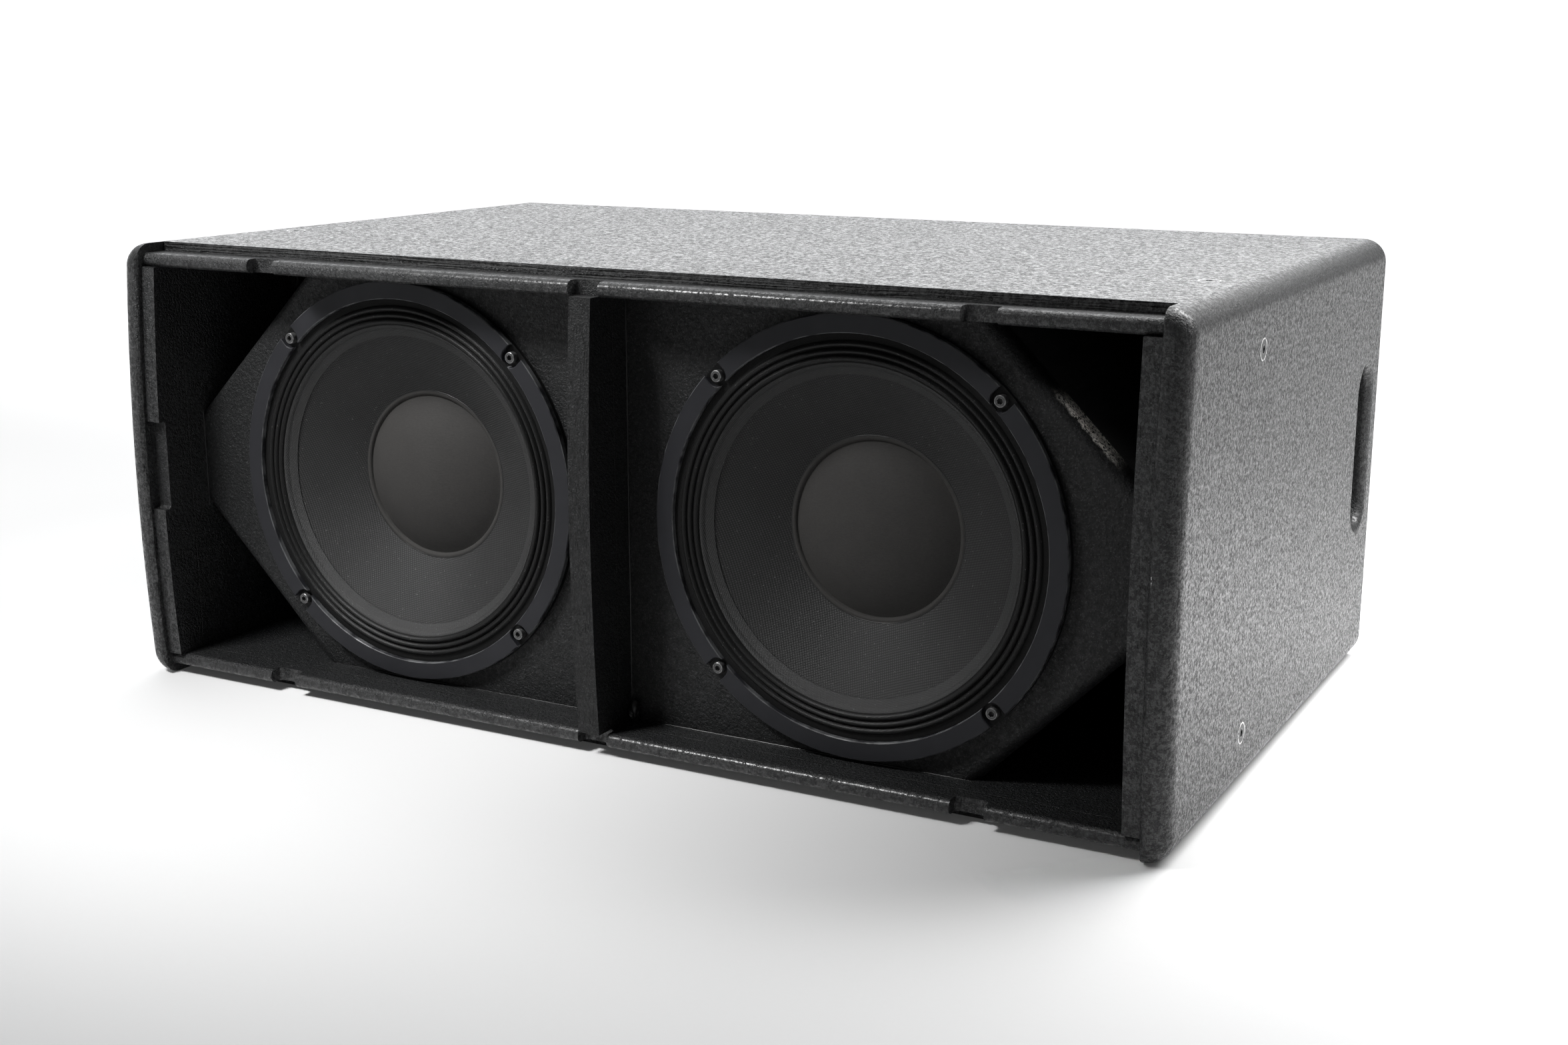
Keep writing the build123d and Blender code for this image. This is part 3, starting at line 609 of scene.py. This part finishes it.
cone_edge = place_of("cone_right")[0]
surround_edge = place_of("surround_right")[0]
inner_overlap, outer_landing = 1 * MM, 4.7 * MM
rolls = (cone_edge + inner_overlap, surround_edge - outer_landing)
surround_cloth = cloth_finish(
    "doped_surround_cloth", grey(0.010), grey(0.004),
    pitch=0.9 * MM, depth=0.10 * MM, dullness=0.32, fuzz=0.8 * MM, bend=1.30, rolls=rolls,
)
cone_weave = cloth_finish(
    "woven_cone", grey(0.046), grey(0.0035),
    pitch=1.6 * MM, depth=0.20 * MM, dullness=0.50, fuzz=0.5 * MM, bend=1.30,
)
band_cloth = cloth_finish(
    "glued_cone_edge", grey(0.040), grey(0.012),
    pitch=1.0 * MM, depth=0.20 * MM, dullness=0.46, fuzz=1.3 * MM, bend=1.38,
)
spider_cloth = cloth_finish(
    "spider_cloth", (0.46, 0.30, 0.10, 1), (0.28, 0.17, 0.05, 1),
    pitch=1.1 * MM, depth=0.2 * MM, dullness=0.6, fuzz=0.8 * MM, sheen=0.1,
)


def felt_finish(name, light, dark, fuzz, depth, sheen=0.0):
    """Fibres of the size fuzz, and longer hairs among them."""
    finish, spot = new_finish(name)
    fibres = grain(spot, fuzz, 4.0, 0.75)
    hairs = grain(stretch(spot, (0.4, 1.0, 1.6)), fuzz * 1.7, 3.0, 0.8)
    clouds = grain(spot, 18 * MM, 3.0)
    base = colours(fibres * 0.5 + hairs * 0.5, dark, light)
    base = colours(clouds * 0.3, base, dark)
    return coat(finish, {
        "Base Color": base,
        "IOR": 1.2,
        "Roughness": 0.58 + fibres * 0.2,
        "Normal": raised(fibres + hairs * 0.7, depth, 0.7),
        "Sheen Weight": sheen,
        "Sheen Roughness": 0.4,
    })


cap_felt = felt_finish(
    "felted_cap", (0.058, 0.056, 0.054, 1), (0.016, 0.0155, 0.015, 1), fuzz=0.8 * MM, depth=0.16 * MM,
)
damping_felt = felt_finish(
    "damping_wadding", (0.30, 0.31, 0.33, 1), (0.16, 0.17, 0.19, 1), fuzz=2.5 * MM, depth=1.2 * MM,
    sheen=0.3,
)
print(ROLL_COUNT, "rolls of cloth between the radii", [round(r / MM, 1) for r in rolls], "mm")

# %% [markdown]
# The glue that squeezed from the joints, and the ring of it that holds each cap, dried glossy and slightly
# uneven. The sockets' contacts are bare brass.

# %% Glue and contact metal
glue = hard_finish(
    "glossy_black_glue", grey(0.012), grey(0.005), 0.0, 0.26, 3.0 * MM, 0.12 * MM, extra={"IOR": 1.4},
)
contact = hard_finish(
    "contact_metal", (0.75, 0.60, 0.33, 1), (0.55, 0.42, 0.20, 1), 1.0, 0.25, 0.7 * MM, 0.03 * MM,
)

# %% [markdown]
# Each solid's record says which material slot it belongs to, so most finishes are handed out by slot. The
# baffles, the divider and the port boards are painted too but sit inside the chambers, and the two kinds of
# black screws have rings of their own, so those are named one by one.

# %% Give each solid its finish
by_slot = {
    "painted_plywood": paint,
    "raw_plywood": birch,
    "moulded_plastic": moulding,
    "foam": foam,
    "cast_frame": cast_frame,
    "gasket_plastic": gasket_plastic,
    "black_screw": back_screw,
    "zinc_steel": zinc,
    "coated_cloth": surround_cloth,
    "cone_paper": cone_weave,
    "cap_felt": cap_felt,
    "former_film": film,
    "copper_wire": copper,
    "spider_cloth": spider_cloth,
    "ferrite": ferrite,
    "terminal_plastic": terminal,
    "damping_felt": damping_felt,
    "plate_metal": plate_coat,
}
by_node = {"blanking_screws": blanking_screw, "centre_divider": shaded_inside_paint}
for side in drivers:
    by_node[f"driver_screws_{side}"] = driver_screw
    by_node[f"baffle_{side}"] = shaded_inside_paint
    for level in ("upper", "lower"):
        by_node[f"port_board_{level}_{side}"] = lightened_port_paint
for subpart in frame["record"]["subparts"]:
    node = subpart["node"]
    finish = by_node.get(node, by_slot[subpart["material_slot"]])
    solid = frame["nodes"][node]
    solid.data.materials.clear()
    solid.data.materials.append(finish)

# %% [markdown]
# Mesh code makes a shape first, and then has to hand it to the scene with its finishes, so one helper does
# that for every piece. Round soft pieces are turned from a profile, as clay on a wheel: a closed line of
# points, each a radius and a depth, is swept round the driver's axis in many small steps. Points on the
# axis fall together, so the piece closes there. The profile's line is what gives the piece its look, so
# each piece below is mostly a profile.


# %% Turning a profile round a driver's axis
def to_scene(name, shape, finishes):
    """Puts a finished shape in the scene under that name, with its finishes."""
    mesh = bpy.data.meshes.new(name)
    shape.to_mesh(mesh)
    shape.free()
    for finish in finishes:
        mesh.materials.append(finish)
    piece = bpy.data.objects.new(name, mesh)
    bpy.context.scene.collection.objects.link(piece)
    return piece


def turned(name, profile, centre, finishes, pick=None, steps=240, wobble=None):
    """profile holds (radius, y) pairs; pick chooses a face's finish by radius; wobble moves a point."""
    touching = 1e-7
    shape = bmesh.new()
    rows = []
    for k in range(steps):
        angle = 2 * math.pi * k / steps
        row = []
        for radius, y in profile:
            if wobble:
                radius, y = wobble(radius, y, angle)
            place = (centre.x + radius * math.cos(angle), y, centre.z + radius * math.sin(angle))
            row.append(shape.verts.new(place))
        rows.append(row)
    count = len(profile)
    for k in range(steps):
        here, there = rows[k], rows[(k + 1) % steps]
        for i in range(count):
            j = (i + 1) % count
            if profile[i][0] == 0 and profile[j][0] == 0:
                continue
            face = shape.faces.new((here[i], here[j], there[j], there[i]))
            face.smooth = True
            if pick:
                face.material_index = pick((profile[i][0] + profile[j][0]) / 2)
    bmesh.ops.remove_doubles(shape, verts=shape.verts, dist=touching)
    bmesh.ops.dissolve_degenerate(shape, dist=touching, edges=shape.edges)
    bmesh.ops.recalc_face_normals(shape, faces=shape.faces)
    piece = to_scene(name, shape, finishes)
    piece.data.set_sharp_from_angle(angle=math.radians(50))
    return piece


def even_steps(start, end, parts):
    """Values from start to end in that many equal parts."""
    return [start + (end - start) * k / parts for k in range(parts + 1)]


for node in ("surround_right", "cone_right", "dust_cap_right"):
    print(node, "has an outer radius of", round(place_of(node)[0] / MM, 1), "mm")

# %% [markdown]
# The surround follows the cone at its inner edge and the frame at its outer edge. The same is done for
# the spider.


# %% Sharing the cone's travel over a ring
def give_way(ring, side, centre, held, free):
    """The ring stands still beyond radius held and follows the cone inside radius free."""
    start = (centre.x + held, centre.y, centre.z)
    end = (centre.x + free, centre.y, centre.z)
    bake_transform(ring, "cabinet", f"{side}_cone", start=start, end=end)
    shares = ring.data.attributes["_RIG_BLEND"].data
    for point, share in zip(ring.data.vertices, shares):
        radius = math.hypot(point.co.x - centre.x, point.co.z - centre.z)
        t = min(1.0, max(0.0, (held - radius) / (held - free)))
        share.value = t * t * (3 - 2 * t)


# %% [markdown]
# The surround is three half-round rolls between two flat landings. The outer landing lies on the frame
# inside the gasket arcs, and the inner one runs down over the cone's edge, where it is glued. The rolls'
# tops are full and their valleys tight, which a sine raised to a power below one gives, and the valleys dip
# a little behind the landings.

# %% Surrounds
skin, glued_skin = 0.8 * MM, 0.65 * MM
roll_height, valley_dip = 2.3 * MM, 0.7 * MM
glued_width, run_down = 8 * MM, 3.5 * MM
cone_slope = 34.5 / 55


def cone_face(radius):
    """Depth of the cone's front face at a radius. Its edge stands a little in front of the baffle."""
    return baffle_y - 2.5 * MM + cone_slope * (cone_edge - radius)


def surround_front(radius, level):
    """Depth of the surround's front at a radius."""
    inner_roll, outer_roll = rolls
    if radius >= outer_roll:
        return level
    if radius >= inner_roll:
        t = (radius - inner_roll) / (outer_roll - inner_roll) * ROLL_COUNT
        dip = valley_dip * math.sin(math.pi * t / ROLL_COUNT) ** 0.5
        return level + dip - (roll_height + dip) * abs(math.sin(math.pi * t)) ** 0.7
    landed = cone_face(radius) - 0.75 * MM
    share = min(1.0, (inner_roll - radius) / run_down)
    return level * (1 - share) + landed * share if share < 1 else landed


for side, centre in drivers.items():
    outer, _, seat = place_of(f"surround_{side}")
    level = seat - skin
    inner = cone_edge - glued_width
    forward = [(r, surround_front(r, level)) for r in even_steps(inner, outer, 132)]
    backward = [(r, y + (skin if r > rolls[0] else glued_skin)) for r, y in reversed(forward)]
    ring = turned(
        f"surround_skin_{side}", forward + backward, centre, [surround_cloth, band_cloth],
        pick=lambda r: 1 if r < cone_edge + 0.6 * MM else 0,
    )
    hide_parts(f"surround_{side}")
    give_way(ring, side, centre, held=outer - outer_landing, free=cone_edge + 0.8 * MM)
print("surround rings made, level at", round(level, 5))

# %% [markdown]
# The cone runs straight from under the surround down to the neck, where the coil's former is glued in. It
# is turned like the surround, from a front line and a back line a cloth's thickness apart, so that it is
# closed all round and looks right from behind too.

# %% Cones
neck = 38.2 * MM
cone_thick = 1.3 * MM
for side, centre in drivers.items():
    forward = [(r, cone_face(r)) for r in even_steps(neck, cone_edge, 72)]
    backward = [(r, y + cone_thick) for r, y in reversed(forward)]
    cone = turned(f"woven_cone_{side}", forward + backward, centre, [cone_weave])
    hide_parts(f"cone_{side}")
    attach(cone, f"{side}_cone")
print("cones made, neck radius", round(neck / MM, 1), "mm")

# %% [markdown]
# The dust cap is a shallow dome, part of a ball, with a narrow flange that is glued to the cone. Between
# dome and flange is a tight groove, which reads as a dark ring. A bead of glue runs round the flange's
# edge, wandering a little in and out, so the turning is given a wobble there.

# %% Dust caps and their glue
cap_radius = place_of("dust_cap_right")[0]
flange_width = 4.2 * MM
cap_thick = 0.9 * MM
bead_wide, bead_high, bead_points = 0.55 * MM, 0.35 * MM, 10
for side, centre in drivers.items():
    _, dome_top, _ = place_of(f"dust_cap_{side}")
    dome_radius = cap_radius - flange_width
    seat = cone_face(cap_radius) - 0.2 * MM
    foot = seat + 1.6 * MM
    rise = foot - dome_top
    ball = (dome_radius**2 + rise**2) / (2 * rise)
    dome = [(r, dome_top + ball - math.sqrt(ball**2 - r**2)) for r in even_steps(0, dome_radius, 40)]
    flange = [
        (dome_radius + 0.5 * MM, foot + 0.2 * MM),
        (dome_radius + 1.0 * MM, foot - 0.6 * MM),
        (dome_radius + 1.6 * MM, foot - 1.6 * MM),
        (cap_radius - 0.5 * MM, seat - 0.4 * MM),
        (cap_radius, seat - 0.1 * MM),
    ]
    front_line = dome + flange
    back_line = [(r, y + cap_thick) for r, y in reversed(front_line)]
    cap = turned(f"felt_cap_{side}", front_line + back_line, centre, [cap_felt])
    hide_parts(f"dust_cap_{side}")
    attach(cap, f"{side}_cone")

    bead_profile = []
    for k in range(bead_points):
        angle = 2 * math.pi * k / bead_points
        radius = cap_radius + 0.2 * MM + bead_wide * math.cos(angle)
        bead_profile.append((radius, seat + bead_high * math.sin(angle)))

    def uneven(radius, y, angle):
        """Moves the ring in and out, in slow swells and small ripples."""
        swell = noise.noise(Vector((3 * math.cos(angle), 3 * math.sin(angle), centre.x * 9)))
        ripple = noise.noise(Vector((14 * math.cos(angle), 14 * math.sin(angle), 1.0)))
        return radius + (0.35 * swell + 0.15 * ripple) * MM, y

    bead = turned(f"cap_glue_{side}", bead_profile, centre, [glue], wobble=uneven)
    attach(bead, f"{side}_cone")
print("dust caps made, dome rises", round(rise / MM, 1), "mm")

# %% [markdown]
# Behind the cone, out of sight, the spider centres the coil: a disc of yellow resin-soaked cloth, pressed
# into rings. It is made the same way as the surround, with a plain sine for its rings, and gives way
# between its two flats.

# %% Spiders
spider_rings, ring_height = 6, 1.5 * MM
spider_thick, spider_gap = 0.5 * MM, 0.1 * MM
for side, centre in drivers.items():
    outer, _, seat = place_of(f"spider_{side}")
    inner = neck + 0.2 * MM
    flat = 6 * MM

    def corrugation(radius):
        """Height of the rings at a radius, 0 on the flats at the edge and at the neck."""
        if radius < inner + flat or radius > outer - flat:
            return 0.0
        t = (radius - inner - flat) / (outer - inner - 2 * flat)
        return ring_height * (1 - math.cos(2 * math.pi * spider_rings * t)) / 2

    forward = [(r, seat - spider_gap - spider_thick - corrugation(r)) for r in even_steps(inner, outer, 150)]
    backward = [(r, y + spider_thick) for r, y in reversed(forward)]
    disc = turned(f"spider_disc_{side}", forward + backward, centre, [spider_cloth], steps=180)
    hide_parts(f"spider_{side}")
    give_way(disc, side, centre, held=outer - flat, free=inner + flat)
print("spiders made with", spider_rings, "rings")

# %% [markdown]
# The two sockets on the back take a plug that is pushed in and turned. Inside each round shell are four
# sprung contacts of brass and three moulded ribs that only let the plug in one way. Both are small bars
# laid along the shell's wall. A contact is bent a little inwards at the middle, as a spring is. A bar is a
# row of rings of points with faces between them, and the beads of glue further down are made in the same
# way, so tube() serves both.


# %% The sockets' contacts and ribs
def tube(shape, rings, smooth=False):
    """Joins rings of points, each with as many as the next, into a closed tube."""
    count = len(rings[0])
    for here, there in zip(rings, rings[1:]):
        for q in range(count):
            p = (q + 1) % count
            shape.faces.new((here[q], here[p], there[p], there[q])).smooth = smooth
    shape.faces.new(list(reversed(rings[0])))
    shape.faces.new(rings[-1])


def bars_in_socket(name, angles, radius, width, thick, bow, reach, finish):
    """Bars along each socket's axis at the given angles, bowed towards it; reach is their start and end."""
    corners = [(-1, -1), (-1, 1), (1, 1), (1, -1)]
    shape = bmesh.new()
    for centre_x in socket_x:
        for angle in angles:
            out = Vector((math.cos(angle), 0, math.sin(angle)))
            sideways = Vector((-math.sin(angle), 0, math.cos(angle)))
            rings = []
            for t in even_steps(0, 1, 12):
                taper = 1 - 0.35 * abs(2 * t - 1) ** 4
                place = Vector((centre_x, reach[0] + (reach[1] - reach[0]) * t, socket_z))
                place += out * (radius - bow * math.sin(math.pi * t))
                rings.append([
                    shape.verts.new(place + sideways * (a * width / 2 * taper) + out * (b * thick / 2))
                    for a, b in corners
                ])
            tube(shape, rings)
    bmesh.ops.recalc_face_normals(shape, faces=shape.faces)
    bars = to_scene(name, shape, [finish])
    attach(bars, "cabinet")


core_low, core_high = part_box("connector_cores")
shell_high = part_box("connector_shells")[1]
core_radius = (core_high.z - core_low.z) / 2
socket_x = (core_low.x + core_radius, core_high.x - core_radius)
socket_z = (core_low.z + core_high.z) / 2
wall = 11 * MM
depth = (core_low.y + 1 * MM, shell_high.y - 5 * MM)
contact_angles = [math.radians(a) for a in (45, 135, 225, 315)]
bars_in_socket(
    "socket_contacts", contact_angles, radius=wall - 0.7 * MM, width=3.2 * MM, thick=0.5 * MM, bow=1.2 * MM,
    reach=depth, finish=contact,
)
rib_angles = [math.radians(a) for a in (90, 180, 0)]
bars_in_socket(
    "socket_ribs", rib_angles, radius=wall - 0.55 * MM, width=2.2 * MM, thick=1.0 * MM, bow=0.0,
    reach=depth, finish=moulding,
)
print("contacts and ribs laid in sockets at x", [round(v, 4) for v in socket_x])

# %% [markdown]
# On the rear board of each chamber is a pad of wadding that soaks up the sound. Wadding isn't a block: it
# is full in the middle, thin at its rim, drawn in between its corners, and dimpled where staples hold it.
# Each pad is a grid of points whose thickness comes from those four facts, with lumps added, closed by a
# flat back.


# %% Wadding pads
def fullness(u, v, seed):
    """Share of a pad's thickness at u across and v up, which both run from -1 to 1."""
    staples = [(a, b) for a in (-0.62, 0.0, 0.62) for b in (-0.45, 0.45)]
    dimple, spread = 0.42, 0.012
    rim_fall = ((1 - abs(u) ** 8) * (1 - abs(v) ** 8)) ** 0.5
    full = rim_fall * (0.80 + 0.14 * (1 - u * u) * (1 - v * v))
    for a, b in staples:
        full -= dimple * math.exp(-(((u - a) * 1.25) ** 2 + (v - b) ** 2) / spread)
    lumps = 0.05 * noise.noise(Vector((u * 9, v * 7, seed)))
    small_lumps = 0.03 * noise.noise(Vector((u * 25, v * 20, seed)))
    return min(0.99, max(0.08, full + (lumps + small_lumps)))


def wadding(name, box_low, box_high, seed):
    """A pad that fills the box, less its drawn-in sides: a full front and a flat back."""
    across, rows = 60, 48
    reach_share, drawn_x, drawn_z = 0.985, 0.035, 0.045
    centre = (box_low + box_high) / 2
    reach = (box_high - box_low) / 2
    thick = box_high.y - box_low.y
    back_y = box_high.y - 0.2 * MM
    shape = bmesh.new()
    layers = []
    for share in (1.0, 0.0):
        layer = []
        for i in range(across + 1):
            column = []
            for k in range(rows + 1):
                u, v = 2 * i / across - 1, 2 * k / rows - 1
                x = centre.x + reach.x * u * (reach_share - drawn_x * (1 - v * v))
                z = centre.z + reach.z * v * (reach_share - drawn_z * (1 - u * u))
                y = back_y - thick * fullness(u, v, seed) * share
                column.append(shape.verts.new((x, y, z)))
            layer.append(column)
        layers.append(layer)
    for layer in layers:
        for i in range(across):
            for k in range(rows):
                corners = (layer[i][k], layer[i + 1][k], layer[i + 1][k + 1], layer[i][k + 1])
                shape.faces.new(corners).smooth = True
    rim = [(i, 0) for i in range(across)] + [(across, k) for k in range(rows)]
    rim += [(i, rows) for i in range(across, 0, -1)] + [(0, k) for k in range(rows, 0, -1)]
    fore, back = layers
    for (i, k), (p, q) in zip(rim, rim[1:] + rim[:1]):
        shape.faces.new((fore[i][k], fore[p][q], back[p][q], back[i][k])).smooth = True
    bmesh.ops.recalc_face_normals(shape, faces=shape.faces)
    pad = to_scene(name, shape, [damping_felt])
    pad.data.set_sharp_from_angle(angle=math.radians(60))
    return pad


for number, side in enumerate(drivers):
    node = f"damping_pad_{side}"
    pad = wadding(f"wadding_{side}", *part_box(node), 3.0 + number)
    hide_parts(node)
    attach(pad, "cabinet")
print("wadding pads made with", len(pad.data.vertices), "points each")

# %% [markdown]
# The joints inside the chambers were glued, and a thin, uneven, glossy bead stands along each of them. A
# bead is a small tube laid in the corner, whose thickness and place wander along its length. One larger
# blob was left in the corner of the right chamber, beside the divider: a ball made lumpy, drawn up to a
# peak, and flattened against the three boards.


# %% Glue beads and the blob
def glue_bead(name, start, end, size, seed):
    """A wandering bead of glue from start to end."""
    start, end = Vector(start), Vector(end)
    run = end - start
    along = run.normalized()
    side_way = along.orthogonal().normalized()
    other_way = along.cross(side_way)
    steps = max(24, int(run.length / (3 * MM)))
    sides = 10
    shape = bmesh.new()
    rings = []
    for t in even_steps(0, 1, steps):
        thick = size * (0.75 + 0.5 * noise.noise(Vector((t * run.length * 22, seed, 0.3))))
        thick *= min(1.0, 12 * t + 0.15, 12 * (1 - t) + 0.15)
        drift = 0.35 * size * noise.noise(Vector((t * run.length * 9, seed, 7.1)))
        middle_point = start + run * t + (side_way + other_way) * drift
        ring = []
        for q in range(sides):
            angle = 2 * math.pi * q / sides
            out = side_way * math.cos(angle) + other_way * math.sin(angle)
            ring.append(shape.verts.new(middle_point + out * thick))
        rings.append(ring)
    tube(shape, rings, smooth=True)
    bmesh.ops.recalc_face_normals(shape, faces=shape.faces)
    bead = to_scene(name, shape, [glue])
    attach(bead, "cabinet")


ceiling = high.z - board
half_divider = board / 2
for number, (side, s) in enumerate((("left", -1), ("right", 1))):
    near, far, post = s * half_divider, s * (liner_face - leg), s * liner_face
    runs = [
        ("floor_bead", (near, board), (far, board), 1.1 * MM, 2.0),
        ("ceiling_bead", (near, ceiling), (far, ceiling), 0.9 * MM, 5.0),
        ("divider_bead", (near, board), (near, ceiling), 0.8 * MM, 8.0),
        ("liner_bead", (post, board + leg), (post, ceiling - leg), 0.8 * MM, 11.0),
    ]
    for name, (x1, z1), (x2, z2), size, seed in runs:
        glue_bead(f"{name}_{side}", (x1, baffle_y, z1), (x2, baffle_y, z2), size, seed + number)

blob_size = Vector((4.6, 4.2, 6.2)) * MM
blob_place = Vector((half_divider + 4.5 * MM, baffle_y - 4.0 * MM, board + 5.0 * MM))
sunk = 1 * MM
lump = bmesh.new()
bmesh.ops.create_icosphere(lump, subdivisions=4, radius=1.0)
for vert in lump.verts:
    rough = 1 + 0.28 * noise.noise(vert.co * 1.7) + 0.10 * noise.noise(vert.co * 5.0)
    peak = 1 + 0.9 * max(0.0, vert.co.z) ** 2
    x, y, z = vert.co
    vert.co = Vector((x * blob_size.x, y * blob_size.y, z * blob_size.z * peak)) * rough + blob_place
    vert.co.y = min(vert.co.y, baffle_y + sunk)
    vert.co.x = max(vert.co.x, half_divider - sunk)
    vert.co.z = max(vert.co.z, board - sunk)
for face in lump.faces:
    face.smooth = True
blob = to_scene("glue_blob", lump, [glue])
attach(blob, "cabinet")
print("glue beads laid along", round((abs(far) - half_divider) / MM), "mm of each floor")

# %% [markdown]
# The floor is a wide sheet of pale paper. A black object shows what it mirrors more than its own colour,
# and its front mirrors the paper in front of it, so that part of the paper is left almost to the lamps
# alone and the chambers stay dark. Behind the cabinet and off to its left the paper glows by itself, as a
# lit backdrop does, and fades into white.

# %% Floor
paper, spot = new_finish("pale_paper")
fibres = grain(spot, 3 * MM, 2.0)
x, y, _ = split(spot)
far_away = step(y, 0.3, 1.8)
off_left = step(x * -1, 0.4, 0.9)
shine = colours(far_away + off_left * 0.7, grey(0.03), grey(0.75))
# The paper's colour is painted greyer in front of the cabinet than far behind it, as painted shade.
paper_grey_shaded_in_front = colours(far_away, grey(0.74), grey(0.90))
coat(paper, {
    "Base Color": colours(fibres * 0.08, paper_grey_shaded_in_front, grey(0.6)),
    "Roughness": 0.85,
    "Normal": raised(fibres, 0.05 * MM, 0.3),
    "Emission Color": shine,
    "Emission Strength": 1.0,
})
sheet = bmesh.new()
bmesh.ops.create_grid(sheet, x_segments=8, y_segments=8, size=30)
floor = to_scene("floor", sheet, [paper])
floor.location.z = low.z - 0.2 * MM
print("floor laid at z", round(floor.location.z, 4))

# %% [markdown]
# The light is soft. A small box in front, up on the left, has a honeycomb on it, so that it draws the
# drivers and the lips without spilling far over the paper. A large box overhead shapes the rest. The third
# lights the paper at the cabinet's right, because the right side shows mostly what it mirrors there.


# %% Lights
def softbox(name, place, aim, size, power, grid=180):
    """grid is the angle in degrees that a honeycomb on the box's front lets out."""
    lamp = bpy.data.lights.new(name, "AREA")
    lamp.shape = "RECTANGLE"
    lamp.size, lamp.size_y = size
    lamp.energy = power
    lamp.spread = math.radians(grid)
    box = bpy.data.objects.new(name, lamp)
    box.location = place
    box.rotation_euler = (Vector(aim) - Vector(place)).to_track_quat("-Z", "Y").to_euler()
    box.visible_camera = False
    bpy.context.scene.collection.objects.link(box)
    print(name, power, "W")


softbox(
    "key_softbox", place=(-0.60, -1.0, 1.3), aim=(-0.17, -0.2, 0.15), size=(0.4, 0.3), power=3.0, grid=50,
)
softbox(
    "overhead_softbox", place=(-0.2, 0.3, 2.1), aim=(0.0, 0.0, 0.3), size=(1.6, 1.2), power=12,
)
softbox(
    "right_floor_softbox", place=(0.80, 0.30, 0.85), aim=(0.74, 0.28, 0.0), size=(0.5, 0.9), power=14,
    grid=130,
)

# %% [markdown]
# The sky does the rest. It is bright behind the cabinet on the left, which the top mirrors at a low angle,
# dim at the right and overhead, and has a faint band of haze just above the ground in front.

# %% Sky
dim, bright, haze = 0.06, 2.1, 0.35
sky = bpy.data.worlds.new("studio_sky")
bpy.context.scene.world = sky
sky.use_nodes = True
way = Wire(sky.node_tree.nodes.new("ShaderNodeTexCoord").outputs["Generated"])
across, along, up = split(way)
behind = step(along, -0.10, 0.75) * (1 - step(across, -0.28, 0.12) * 0.94)
low_down = (1 - step(abs(up), 0.04, 0.22)) * (1 - step(along, -0.6, -0.1))
glow = dim + behind * bright + low_down * haze
backdrop = sky.node_tree.nodes["Background"]
backdrop.inputs["Color"].default_value = (0.98, 0.99, 1.0, 1)
sky.node_tree.links.new(glow.socket, backdrop.inputs["Strength"])
print("sky strength", dim, "overhead in front and", round(dim + bright, 2), "behind on the left")
